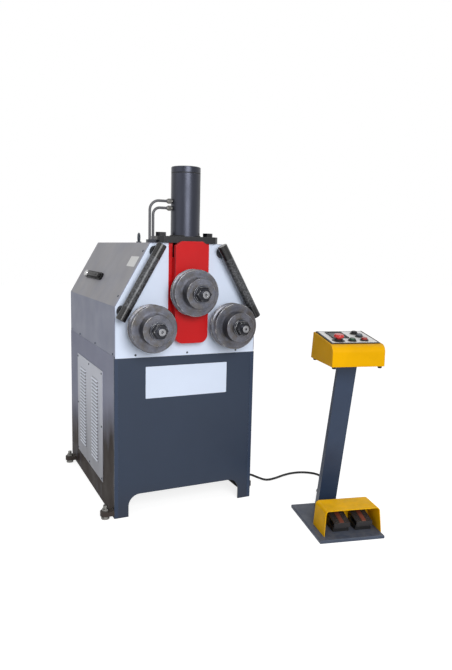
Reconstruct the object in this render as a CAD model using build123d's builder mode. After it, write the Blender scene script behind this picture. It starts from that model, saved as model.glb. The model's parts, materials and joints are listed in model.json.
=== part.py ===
from build123d import *
import os
from math import atan2, cos, degrees, hypot, pi, radians, sin, tan

os.makedirs("parts", exist_ok=True)

# Cabinet, in millimetres, measured from the front centre of the machine on the floor
base_width = 584.0
base_depth = 790.0
front_panel_height = 624.0
side_height = 631.0
panel_sheet = 4.0
front_sheet = 5.0
leg_width = 56.0
arch_height = 87.0
arch_radius = 45.0
rear_recess = 3.0
deck_thickness = 20.0
shelf_lift = 5.0
shelf_sheet = 5.0

# Louvred covers on both sides
vent_size = 460.0
vent_from_back = 387.0
vent_centre_height = 315.0
vent_sheet = 2.0
louvre_count = 24
louvre_pitch = 14.6
louvre_length = 100.0
louvre_columns_apart = 218.0
louvre_slot = 5.0
louvre_rise = 6.5
louvre_height = 8.5
window_margin = 2.0

# Welded foot lugs and levelling screws
lug_reach = 50.0
lug_width = 40.0
lug_thickness = 18.0
lug_height = 13.0
rear_lug_inset = 90.0
right_lug_setback = 88.0
screw_radius = 8.0
screw_pad_radius = 16.0
screw_pad = 6.0
screw_nut = 24.0
screw_nut_height = 9.0
screw_length = 54.0
screw_clearance = 0.4

# Head plates and hood
head_knee = 819.0
head_top = 1055.0
head_top_half = 158.0
head_plate = 30.0
rear_plate_front = 90.0
rear_plate = 25.0
rear_plate_inset = 8.0
hood_inset = 1.0
hood_sheet = 3.0
guide_lip = 15.5
slot_bottom = 702.0

# Rolls and spindles
roll_spread = 165.0
lower_axis = 741.0
roll_gap = 33.06
roll_radius = 88.5
roll_width = 50.0
roll_front = -87.0
groove_radius = 21.5
roll_chamfer = 2.0
roll_parting = 0.2
shaft_radius = 30.0
bore_clearance = 0.02
nose_step = 17.0
spacer_wall = 27.0
spacer_length = 41.0
nut_flange_step = 20.0
nut_flange = 8.0
nut_wall = 12.0
nut_height = 24.0
nut_chamfer = 2.5
nose_stand_out = 12.0
centre_drill_radius = 5.0
centre_drill_depth = 6.0
centre_drill_taper = 30.0
collar_step = 15.0
collar_gap = 1.0
bearing_wall = 25.0
bearing_width = 22.0
running_clearance = 0.05
seat_clearance = 0.02
bearing_lip_step = 10.0
spacer_chamfer = 1.5

# Gear train behind the head
gear_module = 5.0
gear_teeth = 42
pinion_teeth = 24
gear_width = 40.0
gear_start = 125.0
gear_shaft_end = 175.0
tooth_backlash = 0.4
tooth_dedendum = 1.25
tooth_root_spread = 0.24
tooth_tip_taper = 0.42
pinion_shaft_radius = 20.0
pinion_shaft_end = 215.0

# Slide with the top roll
slide_width = 134.0
slide_clearance = 0.1
slide_face_gap = 0.5
slide_stand_out = 36.0
slide_drop = 195.0
slide_rise = 191.0
slide_bottom_radius = 32.0
slide_top_chamfer = (16.0, 26.0)
slide_body_drop = 112.0
slide_body_rise = 129.0
slide_body_back = 88.0
apron_thickness = 21.0
shoulder_step = 6.0
shoulder_gap = 0.3
guide_bar_overlap = 35.5

# Hydraulic cylinder
cylinder_radius = 56.0
cylinder_bore = 45.0
cylinder_top = 1340.0
cylinder_end = 25.0
cap_line_drop = 25.0
cap_line_width = 3.0
cap_line_depth = 2.0
cap_chamfer = 2.0
flange_front = -12.0
flange_thickness = 25.0
flange_chamfer = 14.0
rod_radius = 25.0
piston_bottom = 1180.0
piston_height = 35.0
rod_stud_radius = 15.0
rod_stud_length = 40.0
bolt_from_slot = 14.5
bolt_depth = 48.0
bolt_radius = 12.0
bolt_head_width = 36.0
bolt_head_height = 15.0
bolt_grip = 40.0
bolt_clearance = 0.3

# Steel pressure pipes
pipe_radius = 5.0
pipe_heights = (1211.0, 1185.0)
pipe_from_flange = (25.0, 12.0)
pipe_bends = (36.0, 26.0)
pipe_end_height = 1030.0
fitting_radius = 7.0
fitting_depth = 6.0
fitting_width = 19.0
fitting_length = 20.0
clamp_width = 33.0
clamp_depth = 24.0
clamp_height = 12.0
pipe_clearance = 0.3

# Lateral guide rods
guide_rod_radius = 19.0
guide_rod_edge = 35.5
guide_rod_gap = 5.0
guide_rod_stand_out = 36.0
guide_rod_top = 1048.0
guide_rod_length = 318.0
guide_boss_radius = 22.0
guide_boss_ends = (30.0, 34.0)
guide_rod_chamfer = 1.5

# Lock on the hood's left slope and lifting eye
lock_from_back = 280.0
lock_height = 908.0
lock_length = 280.0
lock_width = 32.0
lock_rise = 9.0
lock_dish = 6.0
lock_rim = 6.0
lock_pivot_offset = 110.0
lever_length = 196.0
lever_width = 18.0
lever_thickness = 9.0
lever_gap = 0.5
lever_pin_radius = 6.5
lever_pin_depth = 4.0
lever_bevel = 2.5
lock_barrel_radius = 11.0
lock_barrel_rise = 20.0
eye_from_back = 153.0
eye_turn = -25.5
eye_collar_radius = 12.0
eye_collar_height = 9.0
eye_ring_radius = 18.0
eye_wire_radius = 5.0

# Gear motor and hydraulic unit inside the cabinet
gearbox_width = 160.0
gearbox_start = 180.0
gearbox_length = 150.0
gearbox_foot_width = 200.0
motor_radius = 68.0
motor_length = 200.0
motor_fins = 16
motor_fin_height = 8.0
motor_fin_width = 4.0
fan_cowl_radius = 78.0
fan_cowl_length = 50.0
tank_left = -230.0
tank_width = 270.0
tank_front = 250.0
tank_depth = 400.0
tank_height = 225.0
tank_wall = 4.0
pump_radius = 45.0
pump_drop = 90.0
pump_clearance = 0.3
pump_flange_radius = 88.0
pump_flange = 12.0
pump_motor_radius = 72.0
pump_motor_height = 210.0
pump_cowl_radius = 77.0
pump_cowl_height = 35.0

# Control stand, measured from the centre of its floor plate
stand_across = 486.0
stand_depth = -348.0
stand_yaw = -12.5
plate_width = 250.0
plate_depth = 320.0
plate_thickness = 12.0
plate_chamfer = 2.0
post_across = 2.0
post_width = 74.0
post_foot_depth = 31.0
post_top_depth = 17.0
post_wall = 3.0
post_foot = 101.5
post_lean = 12.65

# Console on the post
console_centre = -5.0
console_width = 198.0
console_front = -140.0
console_back = 50.0
console_foot = 66.0
console_bottom = 638.0
console_front_height = 74.0
console_back_height = 99.0
console_bend = 28.0
console_sheet = 2.5
console_base_gap = 0.5
keypad_margin = 6.0
keypad_depth = 160.0
keypad_centre = -32.0
keypad_thickness = 3.0
keypad_radius = 4.0
button_collar_radius = 14.0
button_collar_height = 6.0
button_radius = 10.7
button_gap = 0.3
button_lift = 5.2
button_height = 7.0
button_bevel = 1.5
button_stem_radius = 6.0
button_stem_drop = 14.0
button_places = {
    "raise_button": (41.0, 33.0),
    "lower_button": (45.0, -5.0),
    "start_button": (-5.0, -56.0),
    "stop_button": (43.0, -52.0),
}
emergency_place = (-55.0, -50.0)
emergency_collar_radius = 15.0
emergency_collar_height = 8.0
emergency_stem_radius = 8.0
emergency_lift = 14.5
emergency_radius = 18.0
emergency_height = 10.0
emergency_round = 5.0

# Pedals under their guard, with heights above the floor plate
guard_across = 12.0
guard_bottom_half = 113.0
guard_top_half = 106.0
guard_height = 93.0
guard_front = -132.0
guard_front_top = -125.0
guard_back = -24.0
guard_sheet = 3.0
guard_radius = 14.0
pedal_across = 22.0
pedal_spread = 44.0
pedal_width = 62.0
pedal_front = -112.0
pedal_back = -38.0
pedal_back_height = 54.0
pedal_front_height = 36.0
pedal_plate = 6.0
pedal_lip = 18.0
pedal_hub_radius = 10.0
pedal_hub_width = 40.0
pedal_pivot_depth = -48.0
pedal_pivot_height = 30.0
pedal_pin_radius = 5.0
switch_front = -102.0
switch_back = -34.0
switch_height = 18.0
switch_ear_width = 10.0
switch_ear_radius = 11.0

# Control cable between the machine and the stand
cable_radius = 5.0
gland_radius = 12.0
gland_nut_width = 26.0
gland_nut = 10.0
gland_length = 26.0
gland_taper = 8.0
machine_gland_depth = 128.0
machine_gland_height = 46.0
post_gland_height = 60.0
post_gland_across = 24.0
post_gland_reach = 148.0
machine_cable_lead = 36.0
post_cable_lead = 40.0
cable_bend_share = 0.45

# Sizes that follow from those above
vent_centre_depth = base_depth - vent_from_back
rear_lug_depth = base_depth - rear_lug_inset
lock_depth = base_depth - lock_from_back
eye_depth = base_depth - eye_from_back
top_axis = lower_axis + ((2 * roll_radius + roll_gap) ** 2 - roll_spread**2) ** 0.5
slope_angle = atan2(head_top - head_knee, base_width / 2 - head_top_half)
roll_inset = (base_width / 2 - roll_spread) * sin(slope_angle) + (head_knee - lower_axis) * cos(slope_angle)
guide_rod_inset = min(guide_rod_edge, roll_inset - roll_radius - guide_rod_radius - guide_rod_gap)
hood_lining = hood_inset + hood_sheet
nose_radius = shaft_radius - nose_step
spacer_radius = shaft_radius + spacer_wall
shoulder_radius = shaft_radius + shoulder_step
collar_radius = shaft_radius + collar_step
bearing_radius = shaft_radius + bearing_wall
bearing_lip_radius = shaft_radius + bearing_lip_step
nut_flange_radius = nose_radius + nut_flange_step
nut_width = 2 * (nose_radius + nut_wall)
slide_bottom = top_axis - slide_drop
slide_top = top_axis + slide_rise
slide_body_bottom = top_axis - slide_body_drop
slide_body_top = top_axis + slide_body_rise
slot_width = slide_width + 2 * guide_lip
guide_bar_half = slot_width / 2 + guide_bar_overlap
bolt_across = slot_width / 2 + bolt_from_slot
flange_half = guide_bar_half
flange_back = rear_plate_front + rear_plate
cylinder_depth = flange_front + cylinder_radius
pipe_runs = [
    (height, flange_half + outward, bend)
    for height, outward, bend in zip(pipe_heights, pipe_from_flange, pipe_bends)
]
clamp_across = flange_half + sum(pipe_from_flange) / 2
console_front_top = console_bottom + console_front_height
console_back_top = console_bottom + console_back_height
keypad_width = console_width - 2 * keypad_margin
pedal_back_level = plate_thickness + pedal_back_height
pedal_front_level = plate_thickness + pedal_front_height
pedal_pivot_level = plate_thickness + pedal_pivot_height

# Extent of the machine and stand together, used to put the origin below its middle
yaw_cos = cos(radians(stand_yaw))
yaw_sin = abs(sin(radians(stand_yaw)))
reach_left = -base_width / 2 - lug_reach
reach_right = stand_across + (plate_width * yaw_cos + plate_depth * yaw_sin) / 2
reach_front = stand_depth - (plate_width * yaw_sin + plate_depth * yaw_cos) / 2
machine = Plane((-(reach_left + reach_right) / 2, -(reach_front + base_depth) / 2, 0))
stand = Plane(
    machine.from_local_coords((stand_across, stand_depth, 0)),
    x_dir=(cos(radians(stand_yaw)), sin(radians(stand_yaw)), 0),
)


def plan_of(base, height):
    """Level plane, drawn across and to the back."""
    return base.offset(height)


def front_of(base, depth):
    """Upright plane, drawn across and up, that faces the operator."""
    return Plane(base.from_local_coords((0, depth, 0)), x_dir=base.x_dir, z_dir=-base.y_dir)


def side_of(base, across):
    """Upright plane, drawn to the back and up, that faces to the right."""
    return Plane(base.from_local_coords((across, 0, 0)), x_dir=base.y_dir, z_dir=base.x_dir)


def spindle_axis(across, height):
    """Axis of a roll shaft, from front to back."""
    return Axis(machine.from_local_coords((across, 0, height)), machine.y_dir)


def save(builder, label):
    """Label a finished piece and write it under its name."""
    builder.part.label = label
    export_step(builder.part, f"parts/{label}.step")


def turned(axis_height, steps):
    """Half section of a turned piece, from (start, end, inner radius, outer radius) steps."""
    for start, end, inner, outer in steps:
        with Locations(((start + end) / 2, axis_height + (inner + outer) / 2)):
            Rectangle(end - start, outer - inner)


def head_outline(inset, bottom, top):
    """Corners of the head's five-sided front, moved in by an even inset."""
    rise = head_top - head_knee
    run = base_width / 2 - head_top_half
    length = hypot(rise, run)
    half = base_width / 2 - inset
    level = (rise * base_width / 2 + run * head_knee) / length - inset
    knee = (level * length - rise * half) / run
    top_half = (level * length - run * top) / rise
    return [(-half, bottom), (half, bottom), (half, knee), (top_half, top), (-top_half, top), (-half, knee)]


def gear_outline(teeth, start_angle):
    """Tooth ring of a spur gear round the current place."""
    pitch_radius = gear_module * teeth / 2
    root_radius = pitch_radius - tooth_dedendum * gear_module
    tip_radius = pitch_radius + gear_module
    half_pitch = pi * gear_module / 4 - tooth_backlash / 2
    half_root = half_pitch + tooth_root_spread * gear_module
    half_tip = half_pitch - tooth_tip_taper * gear_module
    Circle(root_radius)
    with PolarLocations(0, teeth, start_angle):
        Polygon(
            (root_radius - gear_module / 4, -half_root),
            (pitch_radius, -half_pitch),
            (tip_radius, -half_tip),
            (tip_radius, half_tip),
            (pitch_radius, half_pitch),
            (root_radius - gear_module / 4, half_root),
            align=None,
        )


# Front panel with its arch between the legs
with BuildPart() as base_front_panel:
    with BuildSketch(front_of(machine, front_sheet)):
        Rectangle(base_width, front_panel_height, align=(Align.CENTER, Align.MIN))
        RectangleRounded(base_width - 2 * leg_width, 2 * arch_height, arch_radius, mode=Mode.SUBTRACT)
    extrude(amount=front_sheet)
save(base_front_panel, "base_front_panel")

# Rear panel with the same arch, set in between the side panels
inner_width = base_width - 2 * panel_sheet
with BuildPart() as rear_panel:
    with BuildSketch(front_of(machine, base_depth - rear_recess)):
        Rectangle(inner_width, side_height, align=(Align.CENTER, Align.MIN))
        RectangleRounded(base_width - 2 * leg_width, 2 * arch_height, arch_radius, mode=Mode.SUBTRACT)
    extrude(amount=panel_sheet)
save(rear_panel, "rear_panel")

# Side panels with air windows behind the louvres
side_length = base_depth - front_sheet
inner_length = side_length - rear_recess - panel_sheet
with BuildPart() as side_panels:
    with BuildSketch(side_of(machine, -base_width / 2)):
        with Locations((front_sheet, 0)):
            Rectangle(side_length, side_height, align=Align.MIN)
        with Locations((vent_centre_depth, vent_centre_height)):
            with GridLocations(louvre_columns_apart, 0, 2, 1):
                Rectangle(
                    louvre_length + 2 * window_margin,
                    louvre_count * louvre_pitch + 2 * window_margin,
                    mode=Mode.SUBTRACT,
                )
    extrude(amount=panel_sheet)
    mirror(about=side_of(machine, 0))
save(side_panels, "side_panels")

# Louvred vent covers: a lip over each slot
with BuildPart() as vent_covers:
    with BuildSketch(side_of(machine, -base_width / 2 - vent_sheet)):
        with Locations((vent_centre_depth, vent_centre_height)):
            Rectangle(vent_size, vent_size)
            with GridLocations(louvre_columns_apart, louvre_pitch, 2, louvre_count):
                Rectangle(louvre_length, louvre_slot, mode=Mode.SUBTRACT)
    extrude(amount=vent_sheet)
    for side in (-1, 1):
        column_end = vent_centre_depth + (side * louvre_columns_apart + louvre_length) / 2
        with BuildSketch(front_of(machine, column_end)):
            with Locations((-base_width / 2 - vent_sheet, vent_centre_height + louvre_slot / 2)):
                with GridLocations(0, louvre_pitch, 1, louvre_count):
                    Polygon((0, 0), (-louvre_rise, 0), (0, louvre_height), align=None)
        extrude(amount=louvre_length)
    mirror(about=side_of(machine, 0))
save(vent_covers, "vent_covers")

# Deck that carries the head, and the shelf for the hydraulic unit
with BuildPart() as deck_plate:
    with BuildSketch(plan_of(machine, front_panel_height - deck_thickness)):
        with Locations((0, front_sheet)):
            Rectangle(inner_width, inner_length, align=(Align.CENTER, Align.MIN))
    extrude(amount=deck_thickness)
save(deck_plate, "deck_plate")

with BuildPart() as bottom_shelf:
    with BuildSketch(plan_of(machine, arch_height + shelf_lift)):
        with Locations((0, front_sheet)):
            Rectangle(inner_width, inner_length, align=(Align.CENTER, Align.MIN))
    extrude(amount=shelf_sheet)
save(bottom_shelf, "bottom_shelf")

# Foot lugs with rounded ends
lug_centre = base_width / 2 + lug_reach - lug_width / 2
lug_places = [
    (-lug_centre, lug_width / 2),
    (-lug_centre, rear_lug_depth),
    (lug_centre, right_lug_setback),
    (lug_centre, rear_lug_depth),
]
with BuildPart() as foot_lugs:
    with BuildSketch(plan_of(machine, lug_height)):
        for across, depth in lug_places:
            side = 1 if across > 0 else -1
            with Locations((side * (base_width / 2 + lug_centre) / 2, depth)):
                Rectangle(lug_centre - base_width / 2, lug_width)
        with Locations(*lug_places):
            Circle(lug_width / 2)
            Circle(screw_radius + screw_clearance, mode=Mode.SUBTRACT)
    extrude(amount=lug_thickness)
save(foot_lugs, "foot_lugs")

# Levelling screws standing on their pads, with a nut under and over the lug
with BuildPart() as levelling_screws:
    with BuildSketch(plan_of(machine, 0)):
        with Locations(*lug_places):
            Circle(screw_pad_radius)
    extrude(amount=screw_pad)
    with BuildSketch(plan_of(machine, 0)):
        with Locations(*lug_places):
            Circle(screw_radius)
    extrude(amount=screw_length)
    screw_nuts = ((screw_pad, lug_height - screw_pad), (lug_height + lug_thickness, screw_nut_height))
    for bottom, height in screw_nuts:
        with BuildSketch(plan_of(machine, bottom)):
            with Locations(*lug_places):
                RegularPolygon(screw_nut / 2, 6, major_radius=False)
        extrude(amount=height)
save(levelling_screws, "levelling_screws")

# White front plate of the head inside the hood, with the slide's slot and the lower bearing seats
spindle_places = [(-roll_spread, lower_axis), (roll_spread, lower_axis)]
with BuildPart() as head_front_plate:
    with BuildSketch(front_of(machine, head_plate)):
        with BuildLine():
            Polyline(*head_outline(hood_lining, front_panel_height, head_top - hood_lining), close=True)
        make_face()
        with Locations((0, head_top)):
            Rectangle(2 * flange_half, 2 * hood_lining, align=(Align.CENTER, Align.MAX))
        with Locations((0, (head_top + slot_bottom) / 2)):
            Rectangle(slot_width, head_top - slot_bottom, mode=Mode.SUBTRACT)
        with Locations(*spindle_places):
            Circle(bearing_lip_radius, mode=Mode.SUBTRACT)
    extrude(amount=head_plate)
    with BuildSketch(front_of(machine, head_plate)):
        with Locations(*spindle_places):
            Circle(bearing_radius + seat_clearance)
    extrude(amount=bearing_width, mode=Mode.SUBTRACT)
save(head_front_plate, "head_front_plate")

# Rear plate of the head, with a step on top that carries the flange
with BuildPart() as head_rear_plate:
    with BuildSketch(front_of(machine, rear_plate_front + rear_plate)):
        with BuildLine():
            rear_top = head_top - rear_plate_inset
            Polyline(*head_outline(rear_plate_inset, front_panel_height, rear_top), close=True)
        make_face()
        with Locations((0, head_top)):
            Rectangle(2 * flange_half, 2 * rear_plate_inset, align=(Align.CENTER, Align.MAX))
        with Locations(*spindle_places):
            Circle(bearing_lip_radius, mode=Mode.SUBTRACT)
    extrude(amount=rear_plate)
    with BuildSketch(front_of(machine, rear_plate_front + bearing_width)):
        with Locations(*spindle_places):
            Circle(bearing_radius + seat_clearance)
    extrude(amount=bearing_width, mode=Mode.SUBTRACT)
save(head_rear_plate, "head_rear_plate")

# Guide bars on both sides of the slide, held between the head plates
guide_inner = slide_width / 2 + slide_clearance
bolt_places = [(-bolt_across, bolt_depth), (bolt_across, bolt_depth)]
with BuildPart() as guide_bars:
    with BuildSketch(plan_of(machine, slot_bottom)):
        for side in (-1, 1):
            with Locations((side * (guide_inner + slot_width / 2) / 2, head_plate / 2)):
                Rectangle(slot_width / 2 - guide_inner, head_plate)
            with Locations((side * (guide_inner + guide_bar_half) / 2, head_plate)):
                inner_depth = rear_plate_front - head_plate
                Rectangle(guide_bar_half - guide_inner, inner_depth, align=(Align.CENTER, Align.MIN))
    extrude(amount=head_top - slot_bottom)
    with BuildSketch(plan_of(machine, head_top - bolt_grip)):
        with Locations(*bolt_places):
            Circle(bolt_radius + bolt_clearance)
    extrude(amount=bolt_grip, mode=Mode.SUBTRACT)
save(guide_bars, "guide_bars")

# Hood: one folded sheet with its rear wall set in, drawn forward over the front plate and open below
window_half = flange_half + window_margin
pipe_places = [(-across, cylinder_depth) for height, across, bend in pipe_runs]
hood_wall = base_depth - rear_recess - hood_sheet
hood_hollow = head_outline(hood_lining, side_height - hood_sheet, head_top - hood_lining)
with BuildPart() as hood_cover:
    with BuildSketch(front_of(machine, base_depth)):
        with BuildLine():
            Polyline(*head_outline(hood_inset, side_height, head_top - hood_inset), close=True)
        make_face()
    extrude(amount=base_depth)
    for start, depth in ((base_depth, rear_recess), (hood_wall, hood_wall)):
        with BuildSketch(front_of(machine, start)):
            with BuildLine():
                Polyline(*hood_hollow, close=True)
            make_face()
        extrude(amount=depth, mode=Mode.SUBTRACT)
    with BuildSketch(plan_of(machine, head_top)):
        Rectangle(2 * window_half, flange_back + window_margin, align=(Align.CENTER, Align.MIN))
        with Locations(*pipe_places):
            Circle(pipe_radius + pipe_clearance)
    extrude(amount=pipe_end_height - head_top, mode=Mode.SUBTRACT)
save(hood_cover, "hood_cover")

# Lateral guide rods along the slopes, on round bosses
rod_line = head_outline(guide_rod_inset, 0, guide_rod_top)[3]
rod_down = (cos(slope_angle), -sin(slope_angle))
boss_distances = (guide_boss_ends[0], guide_rod_length - guide_boss_ends[1])
boss_places = [(rod_line[0] + d * rod_down[0], rod_line[1] + d * rod_down[1]) for d in boss_distances]
rod_plane = Plane(
    machine.from_local_coords((rod_line[0], -guide_rod_stand_out, rod_line[1])),
    x_dir=machine.y_dir,
    z_dir=machine.x_dir * rod_down[0] + machine.z_dir * rod_down[1],
)
with BuildPart() as guide_rods:
    with BuildSketch(rod_plane):
        Circle(guide_rod_radius)
    extrude(amount=guide_rod_length)
    chamfer(guide_rods.edges().filter_by(GeomType.CIRCLE), guide_rod_chamfer)
    mirror(about=side_of(machine, 0))
save(guide_rods, "guide_rods")

with BuildPart() as guide_rod_mounts:
    with BuildSketch(front_of(machine, 0)):
        with Locations(*boss_places):
            Circle(guide_boss_radius)
    extrude(amount=guide_rod_stand_out - guide_rod_radius / 2)
    with BuildSketch(rod_plane):
        Circle(guide_rod_radius + running_clearance)
    extrude(amount=guide_rod_length, mode=Mode.SUBTRACT)
    mirror(about=side_of(machine, 0))
save(guide_rod_mounts, "guide_rod_mounts")

# Lock on the hood's left slope: an oblong dish with a swing lever and a key barrel
slope_in = head_outline(hood_inset, side_height, lock_height)[4]
slope_plane = Plane(
    machine.from_local_coords((slope_in[0], lock_depth, lock_height)),
    x_dir=machine.y_dir,
    z_dir=machine.z_dir * cos(slope_angle) - machine.x_dir * sin(slope_angle),
)
with BuildPart() as lock_base:
    with BuildSketch(slope_plane):
        SlotOverall(lock_length, lock_width)
    extrude(amount=lock_rise)
    with BuildSketch(slope_plane.offset(lock_rise)):
        SlotOverall(lock_length - 2 * lock_rim, lock_width - 2 * lock_rim)
    extrude(amount=-lock_dish, mode=Mode.SUBTRACT)
    with BuildSketch(slope_plane):
        with Locations((-lock_pivot_offset, 0)):
            Circle(lever_width / 2)
    extrude(amount=lock_rise)
    with BuildSketch(slope_plane):
        with Locations((lock_pivot_offset, 0)):
            Circle(lock_barrel_radius)
    extrude(amount=lock_barrel_rise)
    with BuildSketch(slope_plane.offset(lock_rise)):
        with Locations((-lock_pivot_offset, 0)):
            Circle(lever_pin_radius + running_clearance)
    extrude(amount=-lever_pin_depth, mode=Mode.SUBTRACT)
save(lock_base, "lock_base")

with BuildPart() as lock_lever:
    with BuildSketch(slope_plane.offset(lock_rise + lever_gap)):
        with Locations((-lock_pivot_offset + (lever_length - lever_width) / 2, 0)):
            SlotOverall(lever_length, lever_width)
    extrude(amount=lever_thickness)
    lever_top = lock_lever.faces().sort_by(Axis(slope_plane.origin, slope_plane.z_dir))[-1]
    chamfer(lever_top.edges(), lever_bevel)
    with BuildSketch(slope_plane.offset(lock_rise + lever_gap)):
        with Locations((-lock_pivot_offset, 0)):
            Circle(lever_pin_radius)
    extrude(amount=lever_gap / 2 - lever_pin_depth)
save(lock_lever, "lock_lever")

# Lifting eye on the hood's top
hood_top = head_top - hood_inset
eye_foot = Plane(machine.from_local_coords((0, eye_depth, hood_top))).rotated((0, 0, eye_turn))
with BuildPart() as lifting_eye:
    with BuildSketch(eye_foot):
        Circle(eye_collar_radius)
    extrude(amount=eye_collar_height)
    with BuildSketch(front_of(eye_foot, 0)):
        with Locations((0, eye_collar_height)):
            Circle(eye_wire_radius)
    eye_middle = eye_foot.from_local_coords((0, 0, eye_collar_height + eye_ring_radius))
    revolve(axis=Axis(eye_middle, eye_foot.x_dir))
save(lifting_eye, "lifting_eye")

# Flange plate that carries the cylinder on the head
flange_depth = flange_back - flange_front
flange_top = head_top + flange_thickness
with BuildPart() as cylinder_flange:
    with BuildSketch(plan_of(machine, head_top)) as flange_plan:
        with Locations((0, (flange_back + flange_front) / 2)):
            Rectangle(2 * flange_half, flange_depth)
        chamfer(flange_plan.vertices(), flange_chamfer)
        with Locations((0, cylinder_depth)):
            Circle(rod_radius + running_clearance, mode=Mode.SUBTRACT)
        with Locations(*bolt_places):
            Circle(bolt_radius + bolt_clearance, mode=Mode.SUBTRACT)
    extrude(amount=flange_thickness)
save(cylinder_flange, "cylinder_flange")

with BuildPart() as flange_bolts:
    with BuildSketch(plan_of(machine, flange_top)):
        with Locations(*bolt_places):
            RegularPolygon(bolt_head_width / 2, 6, major_radius=False)
    extrude(amount=bolt_head_height)
    with BuildSketch(plan_of(machine, flange_top)):
        with Locations(*bolt_places):
            Circle(bolt_radius)
    extrude(amount=-flange_thickness - bolt_grip)
save(flange_bolts, "flange_bolts")

# Cylinder barrel with its welded end, cap line and two ports on the left
with BuildPart() as cylinder_barrel:
    with BuildSketch(plan_of(machine, flange_top)):
        with Locations((0, cylinder_depth)):
            Circle(cylinder_radius)
    extrude(amount=cylinder_top - flange_top)
    chamfer(cylinder_barrel.faces().sort_by(Axis.Z)[-1].edges(), cap_chamfer)
    with BuildSketch(plan_of(machine, flange_top)):
        with Locations((0, cylinder_depth)):
            Circle(cylinder_bore)
    extrude(amount=cylinder_top - cylinder_end - flange_top, mode=Mode.SUBTRACT)
    with BuildSketch(plan_of(machine, cylinder_top - cap_line_drop)):
        with Locations((0, cylinder_depth)):
            Circle(cylinder_radius)
            Circle(cylinder_radius - cap_line_depth, mode=Mode.SUBTRACT)
    extrude(amount=cap_line_width, mode=Mode.SUBTRACT)
    with BuildSketch(side_of(machine, -cylinder_radius)):
        for height, across, bend in pipe_runs:
            with Locations((cylinder_depth, height)):
                Circle(fitting_radius + seat_clearance)
    extrude(amount=fitting_depth, mode=Mode.SUBTRACT)
save(cylinder_barrel, "cylinder_barrel")

# Piston on its rod, screwed into the slide
with BuildPart() as piston_rod:
    for bottom, height, radius in (
        (slide_body_top - rod_stud_length, rod_stud_length, rod_stud_radius),
        (slide_body_top, piston_bottom - slide_body_top, rod_radius),
        (piston_bottom, piston_height, cylinder_bore - running_clearance),
    ):
        with BuildSketch(plan_of(machine, bottom)):
            with Locations((0, cylinder_depth)):
                Circle(radius)
        extrude(amount=height)
save(piston_rod, "piston_rod")

# Pipe fittings on the barrel, and the clamp where the pipes enter the hood
fitting_start = cylinder_radius - fitting_depth
fitting_end = cylinder_radius + fitting_length
with BuildPart() as pipe_fittings:
    for height, across, bend in pipe_runs:
        with BuildSketch(side_of(machine, -fitting_start)):
            with Locations((cylinder_depth, height)):
                Circle(fitting_radius)
        extrude(amount=fitting_start - fitting_end)
        with BuildSketch(side_of(machine, -fitting_end + fitting_length / 4)):
            with Locations((cylinder_depth, height)):
                RegularPolygon(fitting_width / 2, 6, major_radius=False)
        extrude(amount=fitting_length / 2)
    with BuildSketch(plan_of(machine, hood_top)):
        with Locations((-clamp_across, cylinder_depth)):
            Rectangle(clamp_width, clamp_depth)
        with Locations(*pipe_places):
            Circle(pipe_radius + seat_clearance, mode=Mode.SUBTRACT)
    extrude(amount=clamp_height)
save(pipe_fittings, "pipe_fittings")

# Two steel pipes, bent down into the hood
with BuildPart() as pressure_pipes:
    for height, across, bend in pipe_runs:
        with BuildLine(front_of(machine, cylinder_depth)) as pipe_line:
            corner = (-across, height)
            FilletPolyline((-fitting_end, height), corner, (-across, pipe_end_height), radius=bend)
        with BuildSketch(side_of(machine, -fitting_end)):
            with Locations((cylinder_depth, height)):
                Circle(pipe_radius)
        sweep(path=pipe_line.line)
save(pressure_pipes, "pressure_pipes")

# Slide: a red block in front of the head, with its body between the guide bars
apron_back = slide_stand_out - apron_thickness
with BuildPart() as slide_block:
    with BuildSketch(front_of(machine, -slide_face_gap)) as slide_front:
        with Locations((0, slide_bottom)):
            Rectangle(slide_width, slide_top - slide_bottom, align=(Align.CENTER, Align.MIN))
        fillet(slide_front.vertices().group_by(Axis.Y)[0], slide_bottom_radius)
        for side in (-1, 1):
            Polygon(
                (side * slide_width / 2, slide_top),
                (side * slide_width / 2, slide_top - slide_top_chamfer[0]),
                (side * (slide_width / 2 - slide_top_chamfer[1]), slide_top),
                align=None,
                mode=Mode.SUBTRACT,
            )
    extrude(amount=slide_stand_out - slide_face_gap)
    with BuildSketch(front_of(machine, slide_body_back)):
        with Locations((0, slide_body_bottom)):
            Rectangle(slide_width, slide_body_top - slide_body_bottom, align=(Align.CENTER, Align.MIN))
    extrude(amount=slide_body_back + slide_face_gap)
    with BuildSketch(front_of(machine, 0)):
        with Locations((0, slide_body_top)):
            Rectangle(slide_width, slide_top - slide_body_top, align=(Align.CENTER, Align.MIN))
    extrude(amount=apron_back, mode=Mode.SUBTRACT)
    with BuildSketch(front_of(machine, slide_body_back)):
        with Locations((0, top_axis)):
            Circle((bearing_radius + shoulder_radius) / 2)
    extrude(amount=slide_body_back + slide_stand_out, mode=Mode.SUBTRACT)
    for seat_back in (slide_body_back, bearing_width - slide_stand_out):
        with BuildSketch(front_of(machine, seat_back)):
            with Locations((0, top_axis)):
                Circle(bearing_radius + seat_clearance)
        extrude(amount=bearing_width, mode=Mode.SUBTRACT)
    with BuildSketch(plan_of(machine, slide_body_top)):
        with Locations((0, cylinder_depth)):
            Circle(rod_stud_radius + seat_clearance)
    extrude(amount=-rod_stud_length, mode=Mode.SUBTRACT)
save(slide_block, "slide_block")

# Shaft bearings in the slide and in the head plates
with BuildPart() as top_bearings:
    with BuildSketch(side_of(machine, 0)):
        for seat_back in (slide_body_back, bearing_width - slide_stand_out):
            turned(
                top_axis,
                [(seat_back - bearing_width, seat_back, shaft_radius + running_clearance, bearing_radius)],
            )
    revolve(axis=spindle_axis(0, top_axis))
save(top_bearings, "top_bearings")

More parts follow.
